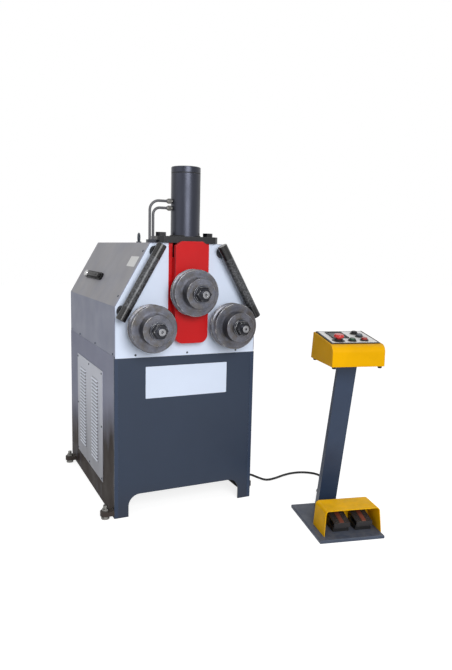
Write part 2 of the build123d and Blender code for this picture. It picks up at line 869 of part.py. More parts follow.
lower_seats = (head_plate, rear_plate_front + bearing_width)
with BuildPart() as lower_bearings:
    with BuildSketch(side_of(machine, -roll_spread)):
        for seat_back in lower_seats:
            turned(
                lower_axis,
                [(seat_back - bearing_width, seat_back, shaft_radius + running_clearance, bearing_radius)],
            )
    revolve(axis=spindle_axis(-roll_spread, lower_axis))
    mirror(about=side_of(machine, 0))
save(lower_bearings, "lower_bearings")

# The three spindles, each with its shaft, grooved roll in two halves, spacer and collar nut
roll_middle = roll_front + roll_width / 2
roll_back = roll_front + roll_width
spacer_front = roll_front - spacer_length
nut_front = spacer_front - nut_flange - nut_height
nose_front = nut_front - nose_stand_out
top_inner_seats = (
    bearing_width - slide_stand_out + shoulder_gap,
    slide_body_back - bearing_width - shoulder_gap,
)
top_steps = [
    (nose_front, spacer_front, 0, nose_radius),
    (spacer_front, slide_body_back - collar_gap, 0, shaft_radius),
    (top_inner_seats[0], top_inner_seats[1], 0, shoulder_radius),
]
lower_steps = [
    (nose_front, spacer_front, 0, nose_radius),
    (spacer_front, gear_shaft_end, 0, shaft_radius),
    (roll_back, -collar_gap, 0, collar_radius),
]
spindles = (
    ("top", 0, top_axis, top_steps),
    ("left", -roll_spread, lower_axis, lower_steps),
    ("right", roll_spread, lower_axis, lower_steps),
)
for name, across, height, steps in spindles:
    axis = spindle_axis(across, height)
    section = side_of(machine, across)

    with BuildPart() as shaft:
        with BuildSketch(section):
            turned(height, steps)
        revolve(axis=axis)
        with BuildSketch(front_of(machine, nose_front)):
            with Locations((across, height)):
                Circle(centre_drill_radius)
        extrude(amount=-centre_drill_depth, taper=centre_drill_taper, mode=Mode.SUBTRACT)
    save(shaft, f"{name}_shaft")

    with BuildPart() as roll:
        with BuildSketch(section):
            with BuildLine():
                inner = height + shaft_radius + bore_clearance
                outer = height + roll_radius
                groove = Line((roll_front + roll_chamfer, outer), (roll_middle - groove_radius, outer))
                JernArc(groove @ 1, (0, -1), groove_radius, 90)
                Line((roll_middle, outer - groove_radius), (roll_middle, inner))
                Line((roll_middle, inner), (roll_front, inner))
                Line((roll_front, inner), (roll_front, outer - roll_chamfer))
                Line((roll_front, outer - roll_chamfer), groove @ 0)
            make_face()
            with Locations((roll_middle, height)):
                Rectangle(roll_parting, 2 * roll_radius, mode=Mode.SUBTRACT)
        revolve(axis=axis)
        mirror(about=front_of(machine, roll_middle))
    save(roll, f"{name}_roll")

    with BuildPart() as spacer:
        with BuildSketch(section):
            turned(height, [(spacer_front, roll_front, shaft_radius + bore_clearance, spacer_radius)])
        revolve(axis=axis)
        chamfer(spacer.edges().filter_by(GeomType.CIRCLE).group_by(SortBy.RADIUS)[-1], spacer_chamfer)
    save(spacer, f"{name}_spacer")

    with BuildPart() as nut:
        with BuildSketch(front_of(machine, spacer_front)):
            with Locations((across, height)):
                Circle(nut_flange_radius)
        extrude(amount=nut_flange)
        with BuildSketch(front_of(machine, spacer_front - nut_flange)):
            with Locations((across, height)):
                RegularPolygon(nut_width / 2, 6, major_radius=False)
        extrude(amount=nut_height)
        chamfer(nut.faces().sort_by(Axis.Y)[0].edges(), nut_chamfer)
        with BuildSketch(front_of(machine, spacer_front)):
            with Locations((across, height)):
                Circle(nose_radius + bore_clearance)
        extrude(amount=nut_flange + nut_height, mode=Mode.SUBTRACT)
    save(nut, f"{name}_nut")

# Drive gears on the lower shafts and the pinion between them
gear_back = gear_start + gear_width
for name, across in (("left", -roll_spread), ("right", roll_spread)):
    with BuildPart() as gear:
        with BuildSketch(front_of(machine, gear_back)):
            with Locations((across, lower_axis)):
                gear_outline(gear_teeth, 0)
                Circle(shaft_radius + bore_clearance, mode=Mode.SUBTRACT)
        extrude(amount=gear_width)
    save(gear, f"{name}_gear")

with BuildPart() as drive_pinion:
    with BuildSketch(front_of(machine, gear_back)):
        with Locations((0, lower_axis)):
            gear_outline(pinion_teeth, 180 / pinion_teeth)
    extrude(amount=gear_width)
    with BuildSketch(front_of(machine, pinion_shaft_end)):
        with Locations((0, lower_axis)):
            Circle(pinion_shaft_radius)
    extrude(amount=pinion_shaft_end - gear_back)
save(drive_pinion, "drive_pinion")

# Gear motor on the deck: gearbox with its foot, ribbed motor and fan cowl
gearbox_end = gearbox_start + gearbox_length
motor_end = gearbox_end + motor_length
cowl_end = motor_end + fan_cowl_length
with BuildPart() as gear_motor:
    with BuildSketch(front_of(machine, gearbox_end)):
        with Locations((0, lower_axis)):
            RectangleRounded(gearbox_width, gearbox_width, gearbox_width / 8)
        with Locations((0, front_panel_height)):
            Rectangle(
                gearbox_foot_width,
                lower_axis - front_panel_height - gearbox_width / 2,
                align=(Align.CENTER, Align.MIN),
            )
    extrude(amount=gearbox_length)
    with BuildSketch(front_of(machine, motor_end)):
        with Locations((0, lower_axis)):
            Circle(motor_radius)
            with PolarLocations(motor_radius, motor_fins):
                Rectangle(2 * motor_fin_height, motor_fin_width)
    extrude(amount=motor_length)
    with BuildSketch(front_of(machine, cowl_end)):
        with Locations((0, lower_axis)):
            Circle(fan_cowl_radius)
    extrude(amount=fan_cowl_length)
    with BuildSketch(front_of(machine, pinion_shaft_end + collar_gap)):
        with Locations((0, lower_axis)):
            Circle(pinion_shaft_radius + running_clearance)
    extrude(amount=pinion_shaft_end + collar_gap - gearbox_start, mode=Mode.SUBTRACT)
save(gear_motor, "gear_motor")

# Hydraulic tank on the shelf, with the pump hanging into it from its motor
tank_bottom = arch_height + shelf_lift + shelf_sheet
tank_top = tank_bottom + tank_height
tank_middle = (tank_left + tank_width / 2, tank_front + tank_depth / 2)
with BuildPart() as hydraulic_tank:
    with BuildSketch(plan_of(machine, tank_bottom)):
        with Locations(tank_middle):
            Rectangle(tank_width, tank_depth)
    extrude(amount=tank_height)
    with BuildSketch(plan_of(machine, tank_bottom + tank_wall)):
        with Locations(tank_middle):
            Rectangle(tank_width - 2 * tank_wall, tank_depth - 2 * tank_wall)
    extrude(amount=tank_height - 2 * tank_wall, mode=Mode.SUBTRACT)
    with BuildSketch(plan_of(machine, tank_top)):
        with Locations(tank_middle):
            Circle(pump_radius + pump_clearance)
    extrude(amount=-tank_wall, mode=Mode.SUBTRACT)
save(hydraulic_tank, "hydraulic_tank")

with BuildPart() as pump_motor:
    for bottom, height, radius in (
        (tank_top - pump_drop, pump_drop, pump_radius),
        (tank_top, pump_flange, pump_flange_radius),
        (tank_top + pump_flange, pump_motor_height, pump_motor_radius),
        (tank_top + pump_flange + pump_motor_height, pump_cowl_height, pump_cowl_radius),
    ):
        with BuildSketch(plan_of(machine, bottom)):
            with Locations(tank_middle):
                Circle(radius)
        extrude(amount=height)
save(pump_motor, "pump_motor")

# Floor plate of the stand
with BuildPart() as stand_base:
    with BuildSketch(stand):
        Rectangle(plate_width, plate_depth)
    extrude(amount=plate_thickness)
    chamfer(stand_base.faces().sort_by(Axis.Z)[-1].edges(), plate_chamfer)
save(stand_base, "stand_base")

# Leaning post of rectangular tube
lean = tan(radians(post_lean))
post_length = console_bottom - plate_thickness
post_head = post_foot - lean * post_length


def post_profile(wall):
    """Side of the leaning post, which narrows to the top, drawn in by its wall."""
    slant = wall / cos(radians(post_lean))
    Polygon(
        (post_foot + slant, plate_thickness),
        (post_foot + post_foot_depth - slant, plate_thickness),
        (post_head + post_top_depth - slant, console_bottom),
        (post_head + slant, console_bottom),
        align=None,
    )


with BuildPart() as stand_post:
    with BuildSketch(side_of(stand, post_across)):
        post_profile(0)
    extrude(amount=post_width / 2, both=True)
    with BuildSketch(side_of(stand, post_across)):
        post_profile(post_wall)
    extrude(amount=post_width / 2 - post_wall, both=True, mode=Mode.SUBTRACT)
save(stand_post, "stand_post")

# Console: bent sheet housing with a sloping top, closed below by its base
panel_slope = degrees(atan2(console_back_top - console_front_top, console_back - console_front))
keypad_plane = Plane(
    stand.from_local_coords(
        (
            console_centre,
            keypad_centre,
            console_back_top - (console_back - keypad_centre) * tan(radians(panel_slope)),
        )
    ),
    x_dir=stand.x_dir,
    z_dir=stand.z_dir * cos(radians(panel_slope)) - stand.y_dir * sin(radians(panel_slope)),
)
control_places = list(button_places.values())
base_plate_front = console_front + console_sheet
base_plate_back = console_foot - console_sheet - console_base_gap


def console_profile():
    """Side of the console before its front edge is bent."""
    Polygon(
        (console_front, console_bottom),
        (console_front, console_front_top),
        (console_back, console_back_top),
        (console_foot, console_bottom),
        align=None,
    )


with BuildPart() as console_box:
    with BuildSketch(side_of(stand, console_centre)) as outer_side:
        console_profile()
        fillet(outer_side.vertices().sort_by(Axis.X)[:2].sort_by(Axis.Y)[-1], console_bend)
    extrude(amount=console_width / 2, both=True)
    with BuildSketch(side_of(stand, console_centre)) as inner_side:
        console_profile()
        fillet(inner_side.vertices().sort_by(Axis.X)[:2].sort_by(Axis.Y)[-1], console_bend)
        offset(amount=-console_sheet, mode=Mode.REPLACE)
    extrude(amount=console_width / 2 - console_sheet, both=True, mode=Mode.SUBTRACT)
    with BuildSketch(plan_of(stand, console_bottom)):
        with Locations((console_centre, (base_plate_front + base_plate_back) / 2)):
            Rectangle(console_width - 2 * console_sheet, base_plate_back - base_plate_front)
    extrude(amount=2 * console_sheet, mode=Mode.SUBTRACT)
    with BuildSketch(keypad_plane):
        with Locations(*control_places):
            Circle(button_stem_radius + button_gap)
        with Locations(emergency_place):
            Circle(emergency_stem_radius + button_gap)
    extrude(amount=-2 * console_sheet, mode=Mode.SUBTRACT)
save(console_box, "console_box")

with BuildPart() as console_base:
    with BuildSketch(plan_of(stand, console_bottom)):
        with Locations((console_centre, (base_plate_front + base_plate_back) / 2)):
            Rectangle(console_width - 2 * console_sheet, base_plate_back - base_plate_front)
    extrude(amount=console_sheet)
save(console_base, "console_base")

# Keypad plate with a collar round each button
with BuildPart() as console_panel:
    with BuildSketch(keypad_plane):
        RectangleRounded(keypad_width, keypad_depth, keypad_radius)
    extrude(amount=keypad_thickness)
    with BuildSketch(keypad_plane.offset(keypad_thickness)):
        with Locations(*control_places):
            Circle(button_collar_radius)
    extrude(amount=button_collar_height)
    with BuildSketch(keypad_plane.offset(keypad_thickness)):
        with Locations(emergency_place):
            Circle(emergency_collar_radius)
    extrude(amount=emergency_collar_height)
    with BuildSketch(keypad_plane.offset(keypad_thickness)):
        with Locations(*control_places):
            Circle(button_radius + button_gap)
    extrude(amount=button_collar_height, mode=Mode.SUBTRACT)
    with BuildSketch(keypad_plane):
        with Locations(*control_places):
            Circle(button_stem_radius + button_gap)
        with Locations(emergency_place):
            Circle(emergency_stem_radius + button_gap)
    extrude(amount=keypad_thickness + emergency_collar_height, mode=Mode.SUBTRACT)
save(console_panel, "console_panel")

# Push buttons and the mushroom head of the emergency stop
keypad_top = keypad_plane.offset(keypad_thickness)
keypad_normal = Axis(keypad_plane.origin, keypad_plane.z_dir)
for name, place in button_places.items():
    with BuildPart() as button:
        with BuildSketch(keypad_top.offset(button_lift)):
            with Locations(place):
                Circle(button_radius)
        extrude(amount=button_height)
        chamfer(button.faces().sort_by(keypad_normal)[-1].edges(), button_bevel)
        with BuildSketch(keypad_top.offset(button_lift)):
            with Locations(place):
                Circle(button_stem_radius)
        extrude(amount=-button_lift - button_stem_drop)
    save(button, name)

with BuildPart() as emergency_stop:
    with BuildSketch(keypad_top.offset(emergency_lift)):
        with Locations(emergency_place):
            Circle(emergency_radius)
    extrude(amount=emergency_height)
    fillet(emergency_stop.faces().sort_by(keypad_normal)[-1].edges(), emergency_round)
    with BuildSketch(keypad_top.offset(emergency_lift)):
        with Locations(emergency_place):
            Circle(emergency_stem_radius)
    extrude(amount=-emergency_lift - button_stem_drop)
save(emergency_stop, "emergency_stop")

# Pedal guard: a folded hood, flared to the floor plate and open to the front
guard_top = plate_thickness + guard_height


def guard_profile(wall):
    """Front of the guard, drawn in by its sheet and open below for the inside."""
    flare = (guard_bottom_half - guard_top_half) / guard_height
    low = plate_thickness - wall
    high = guard_top - wall
    low_half = guard_bottom_half + flare * wall - wall
    high_half = guard_top_half + flare * wall - wall
    Polygon(
        (guard_across - low_half, low),
        (guard_across + low_half, low),
        (guard_across + high_half, high),
        (guard_across - high_half, high),
        align=None,
    )


with BuildPart() as pedal_guard:
    with BuildSketch(front_of(stand, guard_back)) as guard_outer:
        guard_profile(0)
        fillet(guard_outer.vertices().group_by(Axis.Y)[-1], guard_radius)
    extrude(amount=guard_back - guard_front)
    with BuildSketch(front_of(stand, guard_back - guard_sheet)) as guard_inner:
        guard_profile(guard_sheet)
        fillet(guard_inner.vertices().group_by(Axis.Y)[-1], guard_radius - guard_sheet)
    extrude(amount=guard_back - guard_sheet - guard_front, mode=Mode.SUBTRACT)
    with BuildSketch(side_of(stand, guard_across)):
        Polygon(
            (guard_front, plate_thickness),
            (guard_front_top, guard_top),
            (guard_front, guard_top),
            align=None,
        )
    extrude(amount=guard_bottom_half, both=True, mode=Mode.SUBTRACT)
save(pedal_guard, "pedal_guard")

# Pedals on their switch boxes: bent tread, front lip and a hub turning on two pin ends
tread_fall = (pedal_back_level - pedal_front_level) / (pedal_back - pedal_front)
ear_centre = (pedal_hub_width + switch_ear_width) / 2 + button_gap
for name, side in (("left_pedal", -1), ("right_pedal", 1)):
    across = pedal_across + side * pedal_spread
    with BuildPart() as pedal:
        with BuildSketch(side_of(stand, across)):
            Polygon(
                (pedal_back, pedal_back_level),
                (pedal_front, pedal_front_level),
                (pedal_front, pedal_front_level - pedal_lip),
                (pedal_front + pedal_plate, pedal_front_level - pedal_lip),
                (pedal_front + pedal_plate, pedal_front_level - pedal_plate + tread_fall * pedal_plate),
                (pedal_back, pedal_back_level - pedal_plate),
                align=None,
            )
        extrude(amount=pedal_width / 2, both=True)
        with BuildSketch(side_of(stand, across)):
            with Locations((pedal_pivot_depth, pedal_pivot_level)):
                Circle(pedal_hub_radius)
            hub_top = pedal_back_level - pedal_plate + tread_fall * (pedal_pivot_depth - pedal_back)
            with Locations((pedal_pivot_depth, pedal_pivot_level)):
                Rectangle(
                    2 * pedal_hub_radius,
                    hub_top - pedal_pivot_level,
                    align=(Align.CENTER, Align.MIN),
                )
        extrude(amount=pedal_hub_width / 2, both=True)
        with BuildSketch(side_of(stand, across)):
            with Locations((pedal_pivot_depth, pedal_pivot_level)):
                Circle(pedal_pin_radius)
        extrude(amount=pedal_width / 2, both=True)
    save(pedal, name)

with BuildPart() as pedal_switches:
    for side in (-1, 1):
        across = pedal_across + side * pedal_spread
        with BuildSketch(side_of(stand, across)):
            with Locations((switch_front, plate_thickness)):
                Rectangle(switch_back - switch_front, switch_height, align=Align.MIN)
        extrude(amount=pedal_width / 2, both=True)
        for ear in (-1, 1):
            with BuildSketch(side_of(stand, across + ear * ear_centre)):
                with Locations((pedal_pivot_depth, pedal_pivot_level)):
                    Circle(switch_ear_radius)
                with Locations((pedal_pivot_depth, plate_thickness)):
                    Rectangle(
                        2 * switch_ear_radius,
                        pedal_pivot_level - plate_thickness,
                        align=(Align.CENTER, Align.MIN),
                    )
                with Locations((pedal_pivot_depth, pedal_pivot_level)):
                    Circle(pedal_pin_radius + running_clearance, mode=Mode.SUBTRACT)
            extrude(amount=switch_ear_width / 2, both=True)
save(pedal_switches, "pedal_switches")

# Cable glands: one low on the machine's right side, one low on the back of the post
post_gland = post_across + post_gland_across
with BuildPart() as cable_glands:
    gland_foot = base_width / 2
    with BuildSketch(side_of(machine, gland_foot)):
        with Locations((machine_gland_depth, machine_gland_height)):
            RegularPolygon(gland_nut_width / 2, 6, major_radius=False)
    extrude(amount=gland_nut)
    with BuildSketch(side_of(machine, gland_foot)):
        with Locations((machine_gland_depth, machine_gland_height)):
            Circle(gland_radius)
    extrude(amount=gland_length, taper=gland_taper)
    with BuildSketch(front_of(stand, post_gland_reach)):
        with Locations((post_gland, post_gland_height)):
            Circle(gland_radius)
    extrude(amount=post_gland_reach - post_foot)
    with BuildSketch(side_of(stand, post_across)):
        post_profile(0)
    extrude(amount=post_width / 2, both=True, mode=Mode.SUBTRACT)
save(cable_glands, "cable_glands")

# Control cable on the floor, from gland to gland, as straight runs with tangent arcs
gland_face = base_width / 2 + gland_length
post_lead = post_gland_reach + post_cable_lead
cable_end, cable_lead = [
    machine.to_local_coords(stand.from_local_coords((post_gland, reach, post_gland_height)))
    for reach in (post_gland_reach, post_lead)
]
cable_points = [
    (gland_face, machine_gland_depth, machine_gland_height),
    (gland_face + machine_cable_lead, machine_gland_depth, machine_gland_height),
    (393, 120, 27),
    (436, 114, 8),
    (492, 128, 5),
    (549, 149, 5),
    (607, 157, 5),
    (661, 143, 5),
    (704, 101, 5),
    (699, 46, 5),
    (660, -8, 5),
    (612, -60, 5),
    (571, -92, 12),
    (556, -121, 38),
    tuple(cable_lead),
    tuple(cable_end),
]
cable_route = [machine.from_local_coords(point) for point in cable_points]
cable_runs = [b - a for a, b in zip(cable_route, cable_route[1:])]
cable_bends = []
for before, after in zip(cable_runs, cable_runs[1:]):
    half_turn = radians(before.get_angle(after)) / 2
    cable_bends.append(cable_bend_share * min(before.length, after.length) / tan(half_turn))
with BuildPart() as control_cable:
    with BuildLine() as cable_line:
        FilletPolyline(*cable_route, radius=cable_bends)
    with BuildSketch(Plane(cable_route[0], z_dir=cable_line.line % 0)):
        Circle(cable_radius)
    sweep(path=cable_line.line)
save(control_cable, "control_cable")

cable_length = sum(edge.length for edge in cable_line.edges())
print("cable bend radii", [round(bend) for bend in cable_bends])
print("cable length", round(cable_length, 1), "volume ratio",
      round(control_cable.part.volume / (pi * cable_radius**2 * cable_length), 4))
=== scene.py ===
"""Finishes, fittings, cable, floor, light and camera for a profile bending machine and its control stand."""

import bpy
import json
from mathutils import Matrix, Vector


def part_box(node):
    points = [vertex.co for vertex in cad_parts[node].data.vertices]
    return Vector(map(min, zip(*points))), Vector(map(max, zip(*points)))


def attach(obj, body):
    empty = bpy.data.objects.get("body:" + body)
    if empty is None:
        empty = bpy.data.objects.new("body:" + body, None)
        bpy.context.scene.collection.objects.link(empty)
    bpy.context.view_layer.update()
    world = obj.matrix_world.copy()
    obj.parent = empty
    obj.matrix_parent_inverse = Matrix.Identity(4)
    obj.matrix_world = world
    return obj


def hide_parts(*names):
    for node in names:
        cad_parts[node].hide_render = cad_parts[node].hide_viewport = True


bl_info = {
    "name": "Profile Bending Machine",
    "version": (1, 0, 0),
    "blender": (4, 5, 0),
    "location": "View3D > Sidebar > Bender",
    "description": "Dresses a three-roll profile bending machine with its finishes and small fittings",
    "category": "Object",
}

import json
from contextlib import contextmanager
from math import ceil, cos, pi, radians, sin

import bmesh
import bpy
from mathutils import Matrix, Vector

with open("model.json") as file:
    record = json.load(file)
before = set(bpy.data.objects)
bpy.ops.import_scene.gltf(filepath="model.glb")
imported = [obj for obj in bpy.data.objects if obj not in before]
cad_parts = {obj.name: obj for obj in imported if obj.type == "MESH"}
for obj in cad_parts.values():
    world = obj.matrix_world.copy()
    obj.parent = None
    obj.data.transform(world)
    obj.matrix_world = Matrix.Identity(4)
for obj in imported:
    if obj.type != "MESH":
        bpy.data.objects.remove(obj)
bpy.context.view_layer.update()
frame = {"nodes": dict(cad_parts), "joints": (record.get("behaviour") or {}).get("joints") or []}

# Units, directions, and a distance in millimetres beyond everything

MM = 0.001
RIGHT = Vector((1, 0, 0))
BACK = Vector((0, 1, 0))
UP = Vector((0, 0, 1))
SIDES = (-1, 1)
FAR = 9999.0

# Origins: the machine's front centre on the floor, and the middle of the stand's turned floor plate

PANEL_LOW, PANEL_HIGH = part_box("base_front_panel")
MACHINE = Vector(((PANEL_LOW.x + PANEL_HIGH.x) / 2, PANEL_LOW.y, 0.0))
PLATE_LOW, PLATE_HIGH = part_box("stand_base")
STAND = Vector(((PLATE_LOW.x + PLATE_HIGH.x) / 2, (PLATE_LOW.y + PLATE_HIGH.y) / 2, 0.0))
STAND_ANGLE = -12.5
STAND_TURN = Matrix.Rotation(radians(STAND_ANGLE), 3, "Z")


def machine_box(name):
    """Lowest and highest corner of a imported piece, in millimetres from the machine's origin."""
    low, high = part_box(name)
    return (low - MACHINE) / MM, (high - MACHINE) / MM


# Camera: focus in pixels of the image's height, place in millimetres, yaw, pitch and roll in degrees

PHOTO_HEIGHT = 670
CAMERA_FOCUS = 610.9
CAMERA_SENSOR = 36.0
CAMERA_PLACE = (-879.6, -2183.3, 1034.7)
CAMERA_TURN = (25.55, -7.96, 1.36)

# Control cable in millimetres, from the cabinet's gland over the floor and up to the gland on the post

CABLE_FROM_MACHINE = (
    (318, 128, 46), (354, 128, 46), (393, 120, 27), (436, 114, 8), (492, 128, 5), (549, 149, 5),
    (607, 157, 5), (661, 143, 5), (704, 101, 5), (699, 46, 5), (660, -8, 5), (612, -60, 5),
    (571, -92, 12), (556, -121, 38),
)
CABLE_TO_STAND = ((26, 188, 60), (26, 148, 60))

# Cabinet: its faces, the limits of its inside, painted in shade, its vents, corner strips, panel screws and
# sign

SIDE_FACE = machine_box("side_panels")[1].x
REAR_FACE = machine_box("rear_panel")[1].y
INSIDE_HALF = SIDE_FACE - 1.5
INSIDE_FRONT = 3.5
INSIDE_BACK = REAR_FACE - 3.0
VENT_LOW, VENT_HIGH = machine_box("vent_covers")
VENT_MIDDLE = (VENT_LOW + VENT_HIGH) / 2
VENT_SHEET = 2.0
VENT_FACE = SIDE_FACE + VENT_SHEET
VENT_SCREW_STEP = 218
STRIP_PLACE = (284.3, 313.0)
STRIP_SIZE = (14.6, 620.0)
STRIP_CORNER = 1.5
STRIP_THICKNESS = 1.0
STRIP_EDGE = 0.5
REAR_SCREW_ACROSS = 280
REAR_SCREW_HEIGHTS = (60, 250, 440, 615)
HOOD_REAR_SCREWS = ((-276, 645), (0, 645), (276, 645), (-276, 800), (276, 800), (-146, 1040), (146, 1040))
SIGN_MIDDLE = 525
SIGN_CORNER = 3
SIGN_THICKNESS = 0.8
SIGN_EDGE = 0.4

# Feet: side and depth of each lug, the welds along its two edges, and its levelling screw's thread

LUGS = ((-1, 20), (-1, 700), (1, 88), (1, 700))
LUG_WELD_HEIGHTS = [corner.z for corner in machine_box("foot_lugs")]
LUG_WELD_HALF = 19
LEVELLER_ACROSS = 322
THREAD_FOOT = 41
THREAD_RADIUS = 7.9
THREAD_LENGTH = 12

# Head: across and rise of each screw, the middle one nearly flush because the slide passes over it

HEAD_SCREW_HEIGHT = 634
HEAD_SCREWS = ((-210, 1.0), (-2, 0.1), (208, 1.0))

# Guide rods: across and height of their upper end, where their black ends stop and start, and their gloss

ROD_END = (121.2, 1048.0)
ROD_SLOPE = (0.494, 0.870)
ROD_BANDS = (56.0, 267.0)
ROD_BAND_BLUR = 0.5
ROD_METAL = 0.3
ROD_COAT = 0.25

# Hood: its slope's normal and distance from the centre line at the floor, its screws and bare label

SLOPE_ACROSS = 0.8696
SLOPE_UP = 0.4938
SLOPE_REACH = 657.3
HOOD_FACE = machine_box("hood_cover")[1].x
HOOD_SCREW_HEIGHT = 639
HOOD_SCREW_DEPTHS = (23, 298, 587, 770)
SLOPE_SCREW_DEPTH = 21
SLOPE_SCREW_HEIGHTS = (855, 1022)
LABEL_PLACE = (78, 982)
LABEL_SIZE = (100, 44)
LABEL_CORNER = 3
LABEL_THICKNESS = 0.4

# Lock on the left slope: depths and lifts of its key barrel, key face and lever rib

LOCK_HEIGHT = 908
KEY_DEPTH = 620
KEY_BARREL_LIFT = 9
KEY_BARREL_SECTION = (
    (11.02, 0.0), (13.2, 0.0), (13.2, 9.6), (12.2, 11.4), (8.0, 12.0), (7.4, 11.1), (11.02, 11.1),
)
KEY_LIFT = 20.05
KEY_RADIUS = 6.6
KEY_THICKNESS = 0.6
KEY_SLOT = (7.0, 1.6)
KEY_SLOT_CORNER = 0.7
RIB_DEPTH = 489
RIB_LIFT = 18.5
RIB_SIZE = (124, 6)
RIB_CORNER = 2.9
RIB_THICKNESS = 1.2
RIB_EDGE = 1.0

# Cylinder: its depth, its two welds, the lower with a gap in degrees, and the top of the pipes' clamp

CYLINDER_LOW, CYLINDER_HIGH = machine_box("cylinder_barrel")
CYLINDER_DEPTH = (CYLINDER_LOW.y + CYLINDER_HIGH.y) / 2
FOOT_WELD_HEIGHT = 1081.5
FOOT_WELD_RADIUS = 56.5
FOOT_WELD_GAP = 48
CAP_WELD_HEIGHT = 1316.5
CAP_WELD_RADIUS = 54.6
CAP_WELD_SIZE = 1.5
CLAMP_TOP = 1120.0

# Spindles, the depth in front of which their nuts are blackened, and how far the painted shade reaches out
# of grooves

SPINDLES = ("top", "left", "right")
NUT_COLLAR = -136.2
GROOVE_REACH = 18

# Stand: across, depths and height of the weld round the post's foot

POST_WELD_ACROSS = (-35, 39)
POST_WELD_DEPTHS = (101.5, 132.5)
POST_WELD_HEIGHT = 12.5

# Console: the keypad plate, and the places and sizes on it, across and up from its middle

KEYPAD_MIDDLE = (-5, -32, 726.21)
KEYPAD_NORMAL = (0.0, -0.13045, 0.99145)
KEYPAD_THICKNESS = 3.0
BUTTONS = ((41, 33), (45, -5), (-5, -56), (43, -52))
BUTTON_HOLE = 14.4
RING_SECTION = ((14.1, 0.4), (16.4, 0.4), (16.2, 1.6), (15.2, 2.3), (14.1, 2.3))
EMERGENCY = (-55, -50)
EMERGENCY_HOLE = 15.4
COLLAR_SECTION = ((15.1, 0.4), (23.5, 0.4), (23.2, 1.3), (20.0, 2.2), (16.5, 3.4), (15.1, 3.4))
OVERLAY_SIZE = (172, 148)
OVERLAY_CORNER = 5
OVERLAY_THICKNESS = 0.5
DISPLAY = (-32, 20)
DISPLAY_SIZE = (66, 84)
DISPLAY_CORNER = 4
DISPLAY_START = 0.4
DISPLAY_THICKNESS = 2.4
DISPLAY_EDGE = 0.8
WINDOW_SIZE = (54, 72)
WINDOW_CORNER = 2
WINDOW_OVERLAP = 0.6
WINDOW_START = 0.6
WINDOW_THICKNESS = 0.6
KEYPAD_SCREW_PLACE = (88.5, 76)
CONSOLE_BOTTOM = machine_box("console_base")[0].z
CONSOLE_FEET_ACROSS = (-92, 82)
CONSOLE_FEET_DEPTHS = (-128, 52)
CONSOLE_FOOT_SECTION = ((0, -0.3), (8, -0.3), (8, 2), (7, 7), (6, 8), (3, 8), (2.4, 6), (0, 6))

# Pedals: depth and height of a tread's back edge, its fall from there, and its ribs and strip

PEDALS = {"left_pedal": -22, "right_pedal": 66}
TREAD_BACK = (-38, 66)
TREAD_FALL = (-74, -18)
TREAD_SINK = 0.1
TREAD_EDGE = 0.9
TREAD_RIBS = 6
TREAD_RIB_START = 0.1
TREAD_RIB_STEP = 0.155
TREAD_RIB_ACROSS = 19.5
TREAD_RIB_SIZE = (17, 4.6)
TREAD_RIB_CORNER = 2.2
TREAD_RIB_THICKNESS = 1.6
TREAD_STRIP_MIDDLE = 0.5
TREAD_STRIP_SIZE = (17, 70)
TREAD_STRIP_CORNER = 2.5
TREAD_STRIP_THICKNESS = 2.2

# Stage: the floor, and the place and size of each lamp

FLOOR_HALF = 14000
FLOOR_DROP = 0.5
FLOOR_TONE = (0.45, 0.45, 0.45, 1.0)
WHITE_LIGHT = (1.0, 1.0, 1.0, 1.0)
LAMP_TARGET = (60, 100, 650)
KEY_LAMP_PLACE = (-250, -3300, 1900)
KEY_LAMP_SIZE = 2200
FILL_LAMP_PLACE = (-3200, -700, 1900)
FILL_LAMP_SIZE = 3400

# Small forms: screw heads in shares of their radius, threads in shares of depth and pitch, and weld beads

SCREW_RIM = (
    (0.0, -0.15, 0), (1.0, -0.15, 0), (1.0, 0.2, 0), (0.93, 0.4, 0), (0.8, 0.55, 0), (0.62, 0.63, 0),
)
SCREW_SOCKET = ((0.42, 0.63, 6), (0.4, 0.2, 6), (0.0, 0.12, 0))
THREAD_PROFILE = ((0, -0.42), (1, -0.06), (1, 0.06), (0, 0.42))
WELD_RIPPLE = 4.2
WELD_LOW = 0.86
WELD_SWELL = 0.2
WELD_END = 0.35
WELD_TAPER = 5
SHARP_EDGE = 32.0

# Louvres: how far their lips, painted bright as a highlight, and their roots stand out of the covers, and
# the painted shade at the roots and in the gaps

LIP_PROUD = (2.6, 4.4)
ROOT_PROUD = (3.0, 0.6)
ROOT_SHADE = 0.62
GAP_SHADE = 0.9

# Shading: layout of the nodes, greys, the span of most of a noise, the stretch of dirt runs, height of bumps

NODE_SPACING = (190, 240)
NODE_COLUMNS = 12
GREY = (0.5, 0.5, 0.5, 1.0)
PALE_DUST = (0.4, 0.4, 0.4, 1.0)
MOST = (0.3, 0.7)
RUN_STRETCH = (9.0, 9.0, 1.3)
BUMP_HEIGHT = 0.2


# Places

def on_machine(across, depth, height):
    """A point in millimetres from the machine's origin."""
    return MACHINE + MM * Vector((across, depth, height))


def on_stand(across, depth, height):
    """A point in millimetres from the stand's origin, turned with the stand."""
    return STAND + STAND_TURN @ (MM * Vector((across, depth, height)))


def placed(origin, along, normal):
    """A frame at a point, with its x axis along one direction and its z axis along the normal."""
    z = Vector(normal).normalized()
    x = (Vector(along) - z * z.dot(Vector(along))).normalized()
    turn = Matrix((x, z.cross(x), z)).transposed().to_4x4()
    return Matrix.Translation(origin) @ turn


def on_slope(side, depth, height, lift=0.0):
    """A frame on the hood's slope, with x to the back and z out of the sheet."""
    across = side * (SLOPE_REACH - SLOPE_UP * height) / SLOPE_ACROSS
    normal = Vector((side * SLOPE_ACROSS, 0, SLOPE_UP))
    return placed(on_machine(across, depth, height) + MM * lift * normal, BACK, normal)


